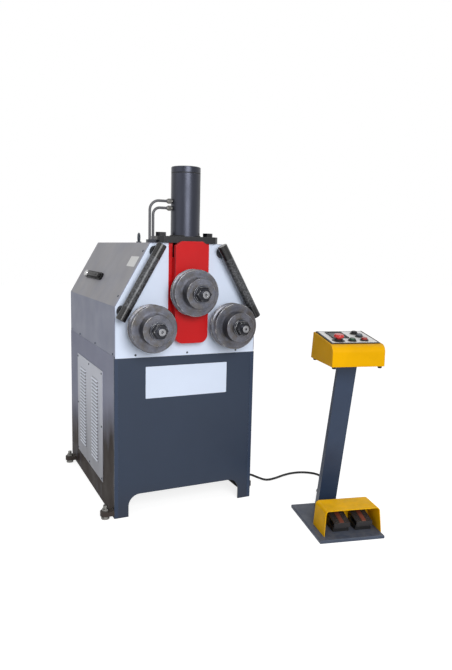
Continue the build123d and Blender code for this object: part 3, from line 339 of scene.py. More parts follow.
def on_keypad(across, up):
    """A frame on the console's keypad plate, with x to the right and z out of the plate."""
    normal = STAND_TURN @ Vector(KEYPAD_NORMAL)
    right = STAND_TURN @ RIGHT
    back = normal.cross(right)
    origin = on_stand(*KEYPAD_MIDDLE) + MM * (across * right + up * back + KEYPAD_THICKNESS * normal)
    return placed(origin, right, normal)


def on_tread(across, share):
    """A frame on a pedal's tread, a share of the way down it, with x across and z out of the tread."""
    depth, height = (back + fall * share for back, fall in zip(TREAD_BACK, TREAD_FALL))
    down = STAND_TURN @ Vector((0, *TREAD_FALL))
    normal = STAND_TURN @ Vector((0, TREAD_FALL[1], -TREAD_FALL[0]))
    return placed(on_stand(across, depth, height), normal.cross(down), normal)


def spindle_axis(spindle):
    """A point on a spindle's axis, from its joint."""
    joint = next(item for item in frame["joints"] if item["name"] == spindle + "_spin")
    return Vector(joint["pos_m"])


# Settings

def shade(red, green, blue):
    """A display colour from 0 to 255 as linear light."""
    parts = (red / 255, green / 255, blue / 255)
    return tuple(p / 12.92 if p <= 0.04045 else ((p + 0.055) / 1.055) ** 2.4 for p in parts)


def colour(name, description, red, green, blue):
    """A colour setting."""
    return bpy.props.FloatVectorProperty(
        name=name, description=description, subtype="COLOR", size=3, min=0, max=1,
        default=shade(red, green, blue),
    )


def length(name, description, millimetres):
    """A length setting, given in millimetres and kept in metres."""
    return bpy.props.FloatProperty(
        name=name, description=description, unit="LENGTH", min=0, default=millimetres * MM, precision=4,
    )


class BenderColours(bpy.types.PropertyGroup):
    """Colours of the machine's finishes."""

    slate: colour("Slate", "Front and rear panels", 41, 52, 70)
    post_slate: colour("Post slate", "Post of the stand and corner strips", 43, 56, 78)
    side_grey: colour("Side grey", "Cabinet sides", 146, 149, 168)
    hood_grey: colour("Hood grey", "Folded hood", 139, 143, 161)
    vent_grey: colour("Vent grey", "Louvred covers", 214, 217, 228)
    # Painted highlight: the bright tone of the louvres' lips.
    lip_highlight: colour("Lip white", "Rubbed lips of the louvres", 238, 243, 255)
    white: colour("White", "Head plate and sign plate", 209, 220, 239)
    red: colour("Red", "Slide and guide bars", 184, 13, 18)
    black_paint: colour("Black paint", "Cylinder, flange and bolts", 12, 13, 18)
    yellow: colour("Yellow", "Console", 214, 158, 0)
    guard_yellow: colour("Guard yellow", "Pedal guard", 236, 178, 0)
    plate_grey: colour("Plate grey", "Floor plate of the stand", 64, 72, 88)
    motor_grey: colour("Motor grey", "Drive, hydraulic unit, deck and dark screws", 74, 80, 88)
    black_plastic: colour("Black plastic", "Lock, rod ends, keypad plate and switch boxes", 22, 22, 24)
    panel_white: colour("Overlay", "Keypad overlay and roof label", 222, 222, 222)
    red_plastic: colour("Red plastic", "Mushroom head of the emergency stop", 182, 34, 32)
    stop_red: colour("Stop red", "Stop button", 140, 40, 34)
    green_plastic: colour("Green plastic", "Start button", 22, 62, 42)
    glass: colour("Glass", "Display window", 24, 30, 34)
    cable_black: colour("Cable", "Cable jacket", 22, 22, 23)
    roll_steel: colour("Roll steel", "Rolls, spacers and collars of the nuts", 102, 104, 114)
    shaft_steel: colour("Shaft steel", "Ends of the roll shafts", 152, 153, 158)
    pipe_steel: colour("Pipe steel", "Pressure pipes", 84, 84, 88)
    bright_steel: colour("Bright steel", "Bare edges, bearings, gears and key barrel", 190, 190, 190)
    nut_steel: colour("Nut steel", "Hexagons of the nuts and the pipes' clamp", 54, 55, 60)
    rod_steel: colour("Rod steel", "Guide rods between their black ends", 66, 67, 70)
    zinc: colour("Zinc", "Plated screws, fittings and button rings", 132, 131, 128)
    # Dirt also gives the dark tone of the painted shade low on the cabinet.
    dirt: colour("Dirt And Shade", "Grime low on the cabinet and on its foot lugs", 46, 38, 34)
    dust: colour("Dust", "Dust on level faces and rubbed plastic", 176, 170, 160)
    pedal_black: colour("Pedal black", "Scuffed plastic of the pedals", 38, 36, 38)
    oil: colour("Oil", "Old oil on the rolls", 84, 76, 58)
    tread: colour("Tread", "Worn strip along the pedals", 112, 56, 42)
    # Painted shade: this dark tone stands in for shade inside the cabinet, in grooves, on flanks and under
    # the louvres.
    shadow: colour("Inside", "Unlit inner faces and grime in grooves", 15, 15, 16)


class BenderSizes(bpy.types.PropertyGroup):
    """Sizes of the small fittings."""

    panel_screw: length("Panel screw", "Head radius of the sheet metal screws", 4.2)
    keypad_screw: length("Keypad screw", "Head radius of the keypad screws", 2.8)
    weld: length("Weld", "Radius of the weld beads", 3.2)
    thread_pitch: length("Thread pitch", "Pitch of the levelling screws", 2.0)
    thread_depth: length("Thread depth", "Height of the thread on the levelling screws", 0.7)
    sign_width: length("Sign width", "Width of the bare sign plate", 340)
    sign_height: length("Sign height", "Height of the bare sign plate", 124)
    cable: length("Cable", "Diameter of the control cable", 10)


class BenderStage(bpy.types.PropertyGroup):
    """Light of the plain studio."""

    key: bpy.props.FloatProperty(
        name="Key", description="Power of the large lamp at the front", unit="POWER", default=98, min=0)
    fill: bpy.props.FloatProperty(
        name="Fill", description="Power of the weaker lamp at the left", unit="POWER", default=22, min=0)
    sky: bpy.props.FloatProperty(
        name="Sky", description="Even light from all round", default=0.4, min=0)
    floor_glow: bpy.props.FloatProperty(
        name="Floor glow", description="How white the floor shows in its shadows", default=0.8,
        min=0, max=1)


# Shader tools

def node(tree, kind, inputs=None, **settings):
    """Add a shader node, set its options, and set or link its inputs."""
    made = tree.nodes.new("ShaderNode" + kind)
    row, column = divmod(len(tree.nodes), NODE_COLUMNS)
    made.location = (NODE_SPACING[0] * column, -NODE_SPACING[1] * row)
    for key, value in settings.items():
        setattr(made, key, value)
    for key, value in (inputs or {}).items():
        if isinstance(value, bpy.types.NodeSocket):
            tree.links.new(value, made.inputs[key])
        else:
            made.inputs[key].default_value = value
    return made


def calc(tree, operation, first, second=0.0):
    """Result of one sum."""
    return node(tree, "Math", {0: first, 1: second}, operation=operation).outputs[0]


def product(tree, first, *others):
    """Several values multiplied."""
    for other in others:
        first = calc(tree, "MULTIPLY", first, other)
    return first


def spread(tree, value, span, to=(0.0, 1.0), smooth=False):
    """A value taken from one span to another."""
    inputs = {"Value": value, "From Min": span[0], "From Max": span[1], "To Min": to[0], "To Max": to[1]}
    kind = "SMOOTHSTEP" if smooth else "LINEAR"
    return node(tree, "MapRange", inputs, interpolation_type=kind).outputs[0]


def blend(tree, factor, first, second):
    """Two colours mixed by a factor."""
    return node(tree, "Mix", {0: factor, 6: first, 7: second}, data_type="RGBA").outputs[2]


def scaled(tree, tone, scale):
    """A colour made lighter or darker."""
    return node(tree, "VectorMath", {0: tone, "Scale": scale}, operation="SCALE").outputs["Vector"]


def object_place(tree):
    """Coordinates in the machine's own frame, which move with the piece."""
    return node(tree, "TexCoord").outputs["Object"]


def parts_of(tree, vector):
    """The X, Y and Z of a vector."""
    return node(tree, "SeparateXYZ", {0: vector}).outputs


def facing(tree, kind="Normal"):
    """The X, Y and Z of the direction that the surface faces."""
    return parts_of(tree, node(tree, "NewGeometry").outputs[kind])


def from_middle(tree, across):
    """Distance of an X from the machine's middle."""
    return calc(tree, "ABSOLUTE", calc(tree, "SUBTRACT", across, MACHINE.x))


def noise(tree, place, scale, detail=3.0, rough=0.55):
    """Cloudy value round one half."""
    inputs = {"Vector": place, "Scale": scale, "Detail": detail, "Roughness": rough}
    return node(tree, "TexNoise", inputs).outputs[0]


def new_group(name, inputs, outputs):
    """An empty shader group, with its inputs' defaults and its outputs' kinds by name."""
    tree = bpy.data.node_groups.new(name, "ShaderNodeTree")
    for label, default in inputs.items():
        kind = "Color" if isinstance(default, tuple) else "Float"
        socket = tree.interface.new_socket(label, in_out="INPUT", socket_type="NodeSocket" + kind)
        socket.default_value = default
    for label, kind in outputs.items():
        tree.interface.new_socket(label, in_out="OUTPUT", socket_type="NodeSocket" + kind)
    return tree, tree.nodes.new("NodeGroupInput").outputs, tree.nodes.new("NodeGroupOutput").inputs


# Shader groups

def make_edge_wear():
    """Worn edges and a rounded edge normal."""
    tree, given, result = new_group(
        "edge_wear",
        {"Width": 0.0015, "Scale": 70.0, "Amount": 0.4},
        {"Mask": "Float", "Normal": "Vector"},
    )
    eased = node(tree, "Bevel", {"Radius": given["Width"]}, samples=4).outputs[0]
    face = node(tree, "NewGeometry").outputs["Normal"]
    agree = node(tree, "VectorMath", {0: eased, 1: face}, operation="DOT_PRODUCT").outputs["Value"]
    edge = spread(tree, agree, (0.99, 0.8))
    flecks = spread(tree, noise(tree, object_place(tree), given["Scale"], detail=4.0), (0.44, 0.62))
    worn = product(tree, edge, flecks, given["Amount"])
    tree.links.new(node(tree, "Clamp", {"Value": worn}).outputs[0], result["Mask"])
    tree.links.new(eased, result["Normal"])


def make_paint_skin():
    """Paint with cloudy tone, uneven gloss, fine orange peel and dust on level faces."""
    tree, given, result = new_group(
        "paint_skin",
        {"Color": GREY, "Roughness": 0.4, "Mottle": 0.06, "Scale": 5.0,
         "Dust Color": PALE_DUST, "Dust": 0.1},
        {"Color": "Color", "Roughness": "Float", "Height": "Float"},
    )
    place = object_place(tree)
    low = calc(tree, "SUBTRACT", 1.0, given["Mottle"])
    high = calc(tree, "ADD", 1.0, given["Mottle"])
    tone = spread(tree, noise(tree, place, given["Scale"], detail=5.0, rough=0.62), MOST, (low, high))
    toned = scaled(tree, given["Color"], tone)
    level = spread(tree, facing(tree)["Z"], (0.55, 0.98), smooth=True)
    specks = spread(tree, noise(tree, place, scale=38.0, detail=6.0, rough=0.7), (0.35, 0.7))
    settled = product(tree, level, specks, given["Dust"])
    tree.links.new(blend(tree, settled, toned, given["Dust Color"]), result["Color"])
    uneven = spread(tree, noise(tree, place, scale=11.0, detail=4.0), MOST, (-0.07, 0.07))
    dulled = calc(tree, "MULTIPLY", settled, 0.4)
    gloss = calc(tree, "ADD", calc(tree, "ADD", given["Roughness"], uneven), dulled)
    tree.links.new(gloss, result["Roughness"])
    tree.links.new(noise(tree, place, scale=620.0, detail=2.0), result["Height"])


def make_floor_grime_and_shade():
    """Grime and painted shade that thicken towards the floor, with runs and a cloudy edge."""
    tree, given, result = new_group(
        "floor_grime_and_shade",
        {"Color": GREY, "Dirt And Shade": GREY, "Low": 0.0, "High": 0.4, "Amount": 0.6, "Tilt": 0.0},
        {"Color": "Color"},
    )
    place = object_place(tree)
    parts = parts_of(tree, place)
    depth = calc(tree, "SUBTRACT", parts["Y"], MACHINE.y)
    height = calc(tree, "ADD", parts["Z"], product(tree, depth, given["Tilt"]))
    fall = spread(tree, height, (given["High"], given["Low"]), smooth=True)
    drawn_out = node(tree, "VectorMath", {0: place, 1: RUN_STRETCH}, operation="MULTIPLY").outputs["Vector"]
    runs = spread(tree, noise(tree, drawn_out, scale=2.2, detail=5.0, rough=0.6), MOST, (-0.14, 0.14))
    cloud = spread(tree, noise(tree, place, scale=5.0, detail=5.0, rough=0.65), MOST, (-0.14, 0.14))
    uneven = product(tree, calc(tree, "ADD", runs, cloud), spread(tree, fall, (0.0, 0.3)))
    thick = node(tree, "Clamp", {"Value": calc(tree, "ADD", fall, uneven)}).outputs[0]
    # Grime and painted shade: darker towards the floor.
    mask = product(tree, thick, given["Amount"])
    tree.links.new(blend(tree, mask, given["Color"], given["Dirt And Shade"]), result["Color"])


def make_recess_shade():
    """Painted shade that darkens grooves and inner corners."""
    tree, given, result = new_group(
        "recess_shade",
        {"Color": GREY, "Dirt And Shade": GREY, "Reach": 0.02, "Amount": 0.6},
        {"Color": "Color"},
    )
    inputs = {"Distance": given["Reach"]}
    # Painted shade: occlusion darkens grooves and inner corners towards the dark tone.
    open_way = node(tree, "AmbientOcclusion", inputs, samples=8, only_local=True).outputs["AO"]
    mask = product(tree, spread(tree, open_way, (0.92, 0.3)), given["Amount"])
    tree.links.new(blend(tree, mask, given["Color"], given["Dirt And Shade"]), result["Color"])


def make_turned_marks():
    """Fine rings and broad bands left by turning, round an axis that runs from front to back."""
    tree, given, result = new_group(
        "turned_marks",
        {"Across": 0.0, "Height": 0.0},
        {"Rings": "Float", "Bands": "Float"},
    )
    parts = parts_of(tree, object_place(tree))
    across = calc(tree, "SUBTRACT", parts["X"], given["Across"])
    height = calc(tree, "SUBTRACT", parts["Z"], given["Height"])
    flat = node(tree, "CombineXYZ", {0: across, 2: height}).outputs[0]
    radius = node(tree, "VectorMath", {0: flat}, operation="LENGTH").outputs["Value"]
    run = calc(tree, "ADD", radius, calc(tree, "MULTIPLY", parts["Y"], 0.8))
    for label, scale, detail in (("Rings", 900.0, 2.0), ("Bands", 85.0, 4.0)):
        inputs = {"W": run, "Scale": scale, "Detail": detail}
        made = node(tree, "TexNoise", inputs, noise_dimensions="1D").outputs[0]
        tree.links.new(made, result[label])


def make_drawn_lines():
    """Fine marks and stains of drawn, ground and plated steel."""
    tree, given, result = new_group(
        "drawn_lines",
        {"Fineness": 60.0},
        {"Lines": "Float", "Stains": "Float"},
    )
    place = object_place(tree)
    tree.links.new(noise(tree, place, given["Fineness"], detail=4.0, rough=0.6), result["Lines"])
    tree.links.new(noise(tree, place, scale=16.0, detail=5.0, rough=0.65), result["Stains"])


def make_inner_tone():
    """Another colour inside a half width and between two depths, measured from the machine's origin."""
    tree, given, result = new_group(
        "inner_tone",
        {"Color": GREY, "Inner": GREY, "Half": 10.0, "Front": -10.0, "Back": 10.0},
        {"Color": "Color"},
    )
    parts = parts_of(tree, object_place(tree))
    depth = calc(tree, "SUBTRACT", parts["Y"], MACHINE.y)
    narrow = calc(tree, "LESS_THAN", from_middle(tree, parts["X"]), given["Half"])
    behind = calc(tree, "GREATER_THAN", depth, given["Front"])
    before = calc(tree, "LESS_THAN", depth, given["Back"])
    inside = product(tree, narrow, behind, before)
    tree.links.new(blend(tree, inside, given["Color"], given["Inner"]), result["Color"])


def make_shop_wear_and_shade():
    """Steel that has been in use: uneven tone, specks and old oil, with painted shade on flanks that face
    sideways.
    """
    tree, given, result = new_group(
        "shop_wear_and_shade",
        {"Color": GREY, "Tone": 1.0, "Oil Color": GREY, "Oil": 0.0, "Shade": GREY, "Flank Shade": 0.0},
        {"Color": "Color"},
    )
    place = object_place(tree)
    blotches = noise(tree, place, scale=26.0, detail=6.0, rough=0.68)
    stains = spread(tree, blotches, (0.35, 0.68), (1.16, 0.66))
    grains = noise(tree, place, scale=240.0, detail=3.0, rough=0.6)
    specks = spread(tree, grains, (0.36, 0.66), (0.84, 1.14))
    tone = product(tree, given["Tone"], product(tree, stains, specks))
    toned = scaled(tree, given["Color"], tone)
    film = noise(tree, place, scale=34.0, detail=6.0, rough=0.7)
    oiled = blend(tree, spread(tree, film, (0.42, 0.68), (0.0, given["Oil"])), toned, given["Oil Color"])
    # Painted shade: faces that look sideways, not to the front or back, are darkened.
    fronting = calc(tree, "ABSOLUTE", facing(tree, "True Normal")["Y"])
    side = product(tree, spread(tree, fronting, (0.9, 0.3)), given["Flank Shade"])
    tree.links.new(blend(tree, side, oiled, given["Shade"]), result["Color"])


SHADER_GROUPS = {
    "edge_wear": make_edge_wear,
    "paint_skin": make_paint_skin,
    "floor_grime_and_shade": make_floor_grime_and_shade,
    "recess_shade": make_recess_shade,
    "turned_marks": make_turned_marks,
    "drawn_lines": make_drawn_lines,
    "inner_tone": make_inner_tone,
    "shop_wear_and_shade": make_shop_wear_and_shade,
}


def grouped(tree, name, inputs):
    """Outputs of a shared shader group placed in a material."""
    if name not in bpy.data.node_groups:
        SHADER_GROUPS[name]()
    return node(tree, "Group", inputs, node_tree=bpy.data.node_groups[name]).outputs


# Material tools

def tint(name):
    """One of the colour settings, with full alpha."""
    return (*getattr(bpy.context.scene.bender_colours, name), 1.0)


def new_material(name, **constants):
    """A material with its shader, whose fixed values are set on the shader's own sockets."""
    material = bpy.data.materials.new(name)
    material.use_nodes = True
    tree = material.node_tree
    tree.nodes.clear()
    shader = node(tree, "BsdfPrincipled")
    for key, value in constants.items():
        shader.inputs[key.replace("_", " ")].default_value = value
    node(tree, "OutputMaterial", {"Surface": shader.outputs[0]})
    return material, tree, shader.inputs


def bump(tree, height, normal, strength):
    """A surface normal roughened by a height."""
    inputs = {"Height": height, "Normal": normal, "Strength": strength, "Distance": BUMP_HEIGHT * MM}
    return node(tree, "Bump", inputs).outputs[0]


# Layers over a finish

def low_grime_and_shade(low, high, amount, tilt=0.0):
    """A layer of grime and painted shade that thickens towards the floor, between two heights in millimetres
    at the front.
    """
    return lambda tree, under: grouped(tree, "floor_grime_and_shade", {
        "Color": under, "Dirt And Shade": tint("dirt"), "Low": low * MM, "High": high * MM,
        "Amount": amount, "Tilt": tilt})["Color"]


def groove_shade(reach, amount):
    """A layer of painted shade in grooves and inner corners, as far out as a reach in millimetres."""
    return lambda tree, under: grouped(tree, "recess_shade", {
        "Color": under, "Dirt And Shade": tint("shadow"), "Reach": reach * MM, "Amount": amount})["Color"]


def inner_tone(tone, half=FAR, front=-FAR, back=FAR):
    """A layer with another tone inside a half width and between two depths, in millimetres."""
    return lambda tree, under: grouped(tree, "inner_tone", {
        "Color": under, "Inner": tint(tone),
        "Half": half * MM, "Front": front * MM, "Back": back * MM})["Color"]


def settled_dust(span, amount):
    """A layer of dust on faces that look upwards, over a span of the share of straight up."""
    def layer(tree, under):
        drift = noise(tree, object_place(tree), scale=7.0, detail=5.0, rough=0.6)
        thick = product(tree, spread(tree, drift, MOST, (0.7, 1.3)), amount)
        mask = product(tree, spread(tree, facing(tree)["Z"], span), thick)
        return blend(tree, mask, under, tint("dust"))
    return layer


def louvre_highlight_and_shade(tree, under):
    """A layer with a painted highlight on the louvres' lips and painted shade at their roots and under them.
    """
    upward = facing(tree)["Z"]
    across = from_middle(tree, parts_of(tree, object_place(tree))["X"])
    proud = calc(tree, "SUBTRACT", across, VENT_FACE * MM)
    # Painted highlight on the lips, painted shade at the roots and on faces that look down.
    lit_lip = spread(tree, proud, [limit * MM for limit in LIP_PROUD])
    near_root = spread(tree, proud, [limit * MM for limit in ROOT_PROUD])
    root_shade = product(tree, spread(tree, upward, (0.25, 0.4)), near_root, ROOT_SHADE)
    gap = product(tree, spread(tree, upward, (-0.2, -0.5)), GAP_SHADE)
    highlighted = blend(tree, lit_lip, blend(tree, root_shade, under, tint("motor_grey")), tint("lip_highlight"))
    return blend(tree, gap, highlighted, tint("shadow"))


# Finishes

def painted(name, tone, roughness=0.42, mottle=0.05, scale=5.0, dust=0.12, peel=0.25, wear=0.4,
            bare="bright_steel", width=1.2, layers=(), Specular_IOR_Level=0.3, **constants):
    """Sprayed paint, worn to a bare tone over a width in millimetres at its edges."""
    material, tree, surface = new_material(name, Specular_IOR_Level=Specular_IOR_Level, **constants)
    skin = grouped(tree, "paint_skin", {
        "Color": tint(tone), "Roughness": roughness, "Mottle": mottle, "Scale": scale,
        "Dust Color": tint("dust"), "Dust": dust})
    result = skin["Color"]
    for layer in layers:
        result = layer(tree, result)
    edge = grouped(tree, "edge_wear", {"Width": width * MM, "Amount": wear})
    tree.links.new(blend(tree, edge["Mask"], result, tint(bare)), surface["Base Color"])
    tree.links.new(skin["Roughness"], surface["Roughness"])
    tree.links.new(bump(tree, skin["Height"], edge["Normal"], strength=peel), surface["Normal"])
    return material


def moulded(name, tone, roughness=0.5, mottle=0.06, grain=0.35, wear=0.25, **constants):
    """Moulded plastic or rubber with a fine grain and rubbed edges."""
    return painted(name, tone, roughness, mottle, scale=14.0, dust=0.06, peel=grain, wear=wear,
                   bare="dust", width=0.8, **constants)


def turned_steel(name, spindle, tone, roughness, contrast, grime, flank_shade=0.0, oil=0.0, rim=1.6,
                 collar=None):
    """Turned steel with rings round a spindle, old oil, painted shade on flanks and in grooves, and a rim in
    millimetres painted bright, partly as wear and partly as a painted highlight.
    """
    material, tree, surface = new_material(name, Metallic=1.0)
    axis = spindle_axis(spindle)
    marks = grouped(tree, "turned_marks", {"Across": axis.x, "Height": axis.z})
    bands = spread(tree, marks["Bands"], MOST, (1 - contrast, 1 + contrast))
    base = tint(tone)
    if collar:
        base = inner_tone(collar, front=NUT_COLLAR)(tree, base)
    worn = grouped(tree, "shop_wear_and_shade", {
        "Color": base, "Tone": bands, "Oil Color": tint("oil"), "Oil": oil,
        "Shade": tint("shadow"), "Flank Shade": flank_shade})["Color"]
    # Painted shade in the grooves of the turned steel.
    groove_shaded = groove_shade(GROOVE_REACH, grime)(tree, worn)
    # Bright rims: partly wear, partly a painted highlight.
    edge = grouped(tree, "edge_wear", {"Width": rim * MM, "Amount": 2.4, "Scale": 40.0})
    tree.links.new(blend(tree, edge["Mask"], groove_shaded, tint("bright_steel")), surface["Base Color"])
    gloss = spread(tree, marks["Rings"], MOST, (roughness - 0.06, roughness + 0.08))
    tree.links.new(gloss, surface["Roughness"])
    tree.links.new(bump(tree, marks["Rings"], edge["Normal"], strength=0.22), surface["Normal"])
    return material


def drawn_steel(name, tone, roughness, contrast=0.14, fineness=60.0, low_tone=None):
    """Drawn, ground or plated steel, with another tone below the height of the pipes' clamp."""
    material, tree, surface = new_material(name, Metallic=1.0)
    base = tint(tone)[:3]
    if low_tone:
        height = parts_of(tree, object_place(tree))["Z"]
        base = blend(tree, calc(tree, "LESS_THAN", height, CLAMP_TOP * MM), tint(tone), tint(low_tone))
    marks = grouped(tree, "drawn_lines", {"Fineness": fineness})
    lines = spread(tree, marks["Lines"], MOST, (1 - contrast, 1 + contrast))
    stains = spread(tree, marks["Stains"], (0.35, 0.7), (1.05, 0.84))
    toned = scaled(tree, base, product(tree, lines, stains))
    edge = grouped(tree, "edge_wear", {"Width": 0.8 * MM, "Amount": 0.5, "Scale": 90.0})
    tree.links.new(blend(tree, edge["Mask"], toned, tint("bright_steel")), surface["Base Color"])
    gloss = spread(tree, marks["Lines"], MOST, (roughness - 0.05, roughness + 0.09))
    tree.links.new(gloss, surface["Roughness"])
    tree.links.new(bump(tree, marks["Lines"], edge["Normal"], strength=0.12), surface["Normal"])
    return material


def rod_finish(name):
    """Guide rod steel with a glossy black band at each end."""
    material, tree, surface = new_material(name, Coat_Roughness=0.12, Specular_IOR_Level=0.3)
    parts = parts_of(tree, object_place(tree))
    out = calc(tree, "SUBTRACT", from_middle(tree, parts["X"]), ROD_END[0] * MM)
    down = calc(tree, "SUBTRACT", ROD_END[1] * MM, parts["Z"])
    along = calc(tree, "ADD", product(tree, out, ROD_SLOPE[0]), product(tree, down, ROD_SLOPE[1]))
    top, foot = ([(band - ROD_BAND_BLUR) * MM, (band + ROD_BAND_BLUR) * MM] for band in ROD_BANDS)
    band = calc(tree, "MAXIMUM", spread(tree, along, top, (1.0, 0.0)), spread(tree, along, foot))
    marks = grouped(tree, "drawn_lines", {"Fineness": 130.0})
    lines = spread(tree, marks["Lines"], (0.36, 0.66), (0.5, 1.7))
    stains = spread(tree, marks["Stains"], (0.35, 0.7), (1.25, 0.6))
    steel = scaled(tree, tint("rod_steel")[:3], product(tree, lines, stains))
    black = grouped(tree, "paint_skin", {
        "Color": tint("black_plastic"), "Roughness": 0.25, "Dust": 0.1})["Color"]
    edge = grouped(tree, "edge_wear", {"Width": 1.2 * MM, "Amount": 0.4})
    worn = blend(tree, edge["Mask"], blend(tree, band, steel, black), tint("bright_steel"))
    tree.links.new(worn, surface["Base Color"])
    metal = calc(tree, "SUBTRACT", ROD_METAL, product(tree, band, ROD_METAL))
    tree.links.new(metal, surface["Metallic"])
    tree.links.new(product(tree, band, ROD_COAT), surface["Coat Weight"])
    tree.links.new(spread(tree, marks["Lines"], MOST, (0.2, 0.34)), surface["Roughness"])
    tree.links.new(bump(tree, marks["Lines"], edge["Normal"], strength=0.15), surface["Normal"])
    return material


def glass_finish(name):
    """Dark display window with faint smears."""
    material, tree, surface = new_material(name, Specular_IOR_Level=0.12)
    skin = grouped(tree, "paint_skin", {
        "Color": tint("glass"), "Mottle": 0.25, "Scale": 30.0, "Dust Color": tint("dust"), "Dust": 0.1})
    tree.links.new(skin["Color"], surface["Base Color"])
    smears = noise(tree, object_place(tree), scale=55.0, detail=4.0)
    tree.links.new(spread(tree, smears, MOST, (0.08, 0.28)), surface["Roughness"])
    return material


FINISHES = {
    "slate": (painted, dict(
        tone="slate", roughness=0.46, scale=4.0, wear=0.3,
        # Grime and painted shade low on the panel, and painted shade on its inside.
        layers=(low_grime_and_shade(-40, 150, 0.25), inner_tone("shadow", front=INSIDE_FRONT)))),
    "slate_rear": (painted, dict(
        tone="slate", roughness=0.46, scale=4.0, wear=0.3,
        # Grime and painted shade low on the panel, and painted shade on its inside.
        layers=(low_grime_and_shade(-40, 150, 0.25), inner_tone("shadow", back=INSIDE_BACK)))),
    "slate_post": (painted, dict(tone="post_slate", roughness=0.4, mottle=0.07, scale=7.0, wear=0.25)),
    "side_grey": (painted, dict(
        tone="side_grey", roughness=0.5, mottle=0.06, scale=3.0, wear=0.35, Specular_IOR_Level=0.03,
        # Side panels: painted shade with grime, darker towards the floor, and painted shade on their inside.
        layers=(low_grime_and_shade(260, 500, 1.0, tilt=0.18), inner_tone("shadow", half=INSIDE_HALF)))),
    "hood_grey": (painted, dict(
        tone="hood_grey", roughness=0.46, scale=3.0, wear=0.3, Specular_IOR_Level=0.15,
        layers=(settled_dust((0.3, 0.5), 0.42),))),
    "vent_grey": (painted, dict(
        tone="vent_grey", roughness=0.5, wear=0.3, Specular_IOR_Level=0.1,
        # Grime and painted shade low on the covers, and painted highlight and shade on the louvres.
        layers=(low_grime_and_shade(60, 520, 0.5), louvre_highlight_and_shade))),
    "white": (painted, dict(
        tone="white", roughness=0.34, mottle=0.03, scale=4.0, wear=0.15, bare="motor_grey")),
    "red": (painted, dict(
        tone="red", roughness=0.34, mottle=0.08, scale=6.0, wear=0.3, Specular_IOR_Level=0.24)),
    "black_paint": (painted, dict(
        tone="black_paint", roughness=0.35, mottle=0.1, scale=8.0, dust=0.2, wear=0.35,
        Specular_IOR_Level=0.64, Specular_Tint=(0.72, 0.77, 1.0, 1.0))),
    "black_flange": (painted, dict(
        tone="black_paint", roughness=0.36, mottle=0.12, scale=10.0, dust=0.2, wear=0.45,
        Specular_IOR_Level=0.36)),
    "pipe_steel": (painted, dict(
        tone="pipe_steel", roughness=0.34, mottle=0.1, scale=30.0, dust=0.15, wear=0.3)),
    "yellow": (painted, dict(
        tone="yellow", mottle=0.08, scale=8.0, wear=0.9, bare="motor_grey", width=1.8,
        Specular_IOR_Level=0.06)),
    "yellow_guard": (painted, dict(
        tone="guard_yellow", roughness=0.46, mottle=0.14, scale=16.0, dust=0.06, peel=0.3, wear=0.9,
        # Grime and painted shade low on the guard.
        bare="motor_grey", width=2.0, Specular_IOR_Level=0.06, layers=(low_grime_and_shade(-10, 90, 0.2),))),
    "plate_grey": (painted, dict(
        tone="plate_grey", roughness=0.52, mottle=0.12, scale=12.0, dust=0.14, peel=0.4, wear=0.3)),
    "motor_grey": (painted, dict(
        tone="motor_grey", roughness=0.5, mottle=0.09, scale=10.0, dust=0.3, peel=0.8)),
    "lug": (painted, dict(tone="dirt", roughness=0.5, mottle=0.16, scale=30.0, peel=0.6)),
    "weld": (painted, dict(
        tone="black_paint", roughness=0.45, mottle=0.15, scale=40.0, dust=0.2, peel=0.5, wear=0.2)),
    "weld_slate": (painted, dict(
        tone="slate", roughness=0.45, mottle=0.15, scale=40.0, dust=0.2, peel=0.5, wear=0.2)),
    "panel_white": (painted, dict(
        tone="panel_white", roughness=0.4, mottle=0.04, scale=20.0, dust=0.1, peel=0.2, wear=0.2,
        bare="motor_grey", width=0.6)),
    "black_plastic": (moulded, dict(tone="black_plastic")),
    "boss": (moulded, dict(tone="black_plastic", Specular_IOR_Level=0.1)),
    "pedal": (moulded, dict(tone="pedal_black", mottle=0.2, wear=0.6)),
    "tread": (moulded, dict(tone="tread", roughness=0.55, mottle=0.25, grain=0.6, wear=0.5)),
    "red_plastic": (moulded, dict(tone="red_plastic", roughness=0.25, grain=0.1, Coat_Weight=0.3)),
    "stop_red": (moulded, dict(tone="stop_red", roughness=0.3, grain=0.1, Coat_Weight=0.2)),
    "green_plastic": (moulded, dict(tone="green_plastic", roughness=0.28, grain=0.1, Coat_Weight=0.3)),
    "cable_black": (moulded, dict(tone="cable_black", roughness=0.48, mottle=0.1)),
    "bright_steel": (drawn_steel, dict(tone="bright_steel", roughness=0.26)),
    "zinc": (drawn_steel, dict(tone="zinc", roughness=0.4, contrast=0.2, fineness=110.0)),
    "fitting": (drawn_steel, dict(
        tone="zinc", roughness=0.4, contrast=0.2, fineness=110.0, low_tone="nut_steel")),
    "dark_screw": (drawn_steel, dict(tone="motor_grey", roughness=0.4, contrast=0.2, fineness=150.0)),
    "guide_rod": (rod_finish, {}),
    "glass": (glass_finish, {}),
}

# Per piece: how much painted shade lies in grooves and on flanks, and how wide a rim is painted bright,
# partly as wear and partly as a painted highlight.
TURNED_PIECES = {
    "roll": dict(tone="roll_steel", roughness=0.34, contrast=0.22, grime=1.0, flank_shade=0.6, oil=0.6, rim=3.2),
    "spacer": dict(tone="roll_steel", roughness=0.34, contrast=0.22, grime=0.65, flank_shade=0.7, oil=0.7),
    "shaft": dict(tone="shaft_steel", roughness=0.2, contrast=0.14, grime=0.3),
    "nut": dict(tone="nut_steel", roughness=0.3, contrast=0.15, grime=0.7, flank_shade=0.97, collar="roll_steel"),
}


def finish(name):
    """A finish by name, made on its first use."""
    label = name + "_finish"
    maker, settings = FINISHES[name]
    return bpy.data.materials.get(label) or maker(label, **settings)


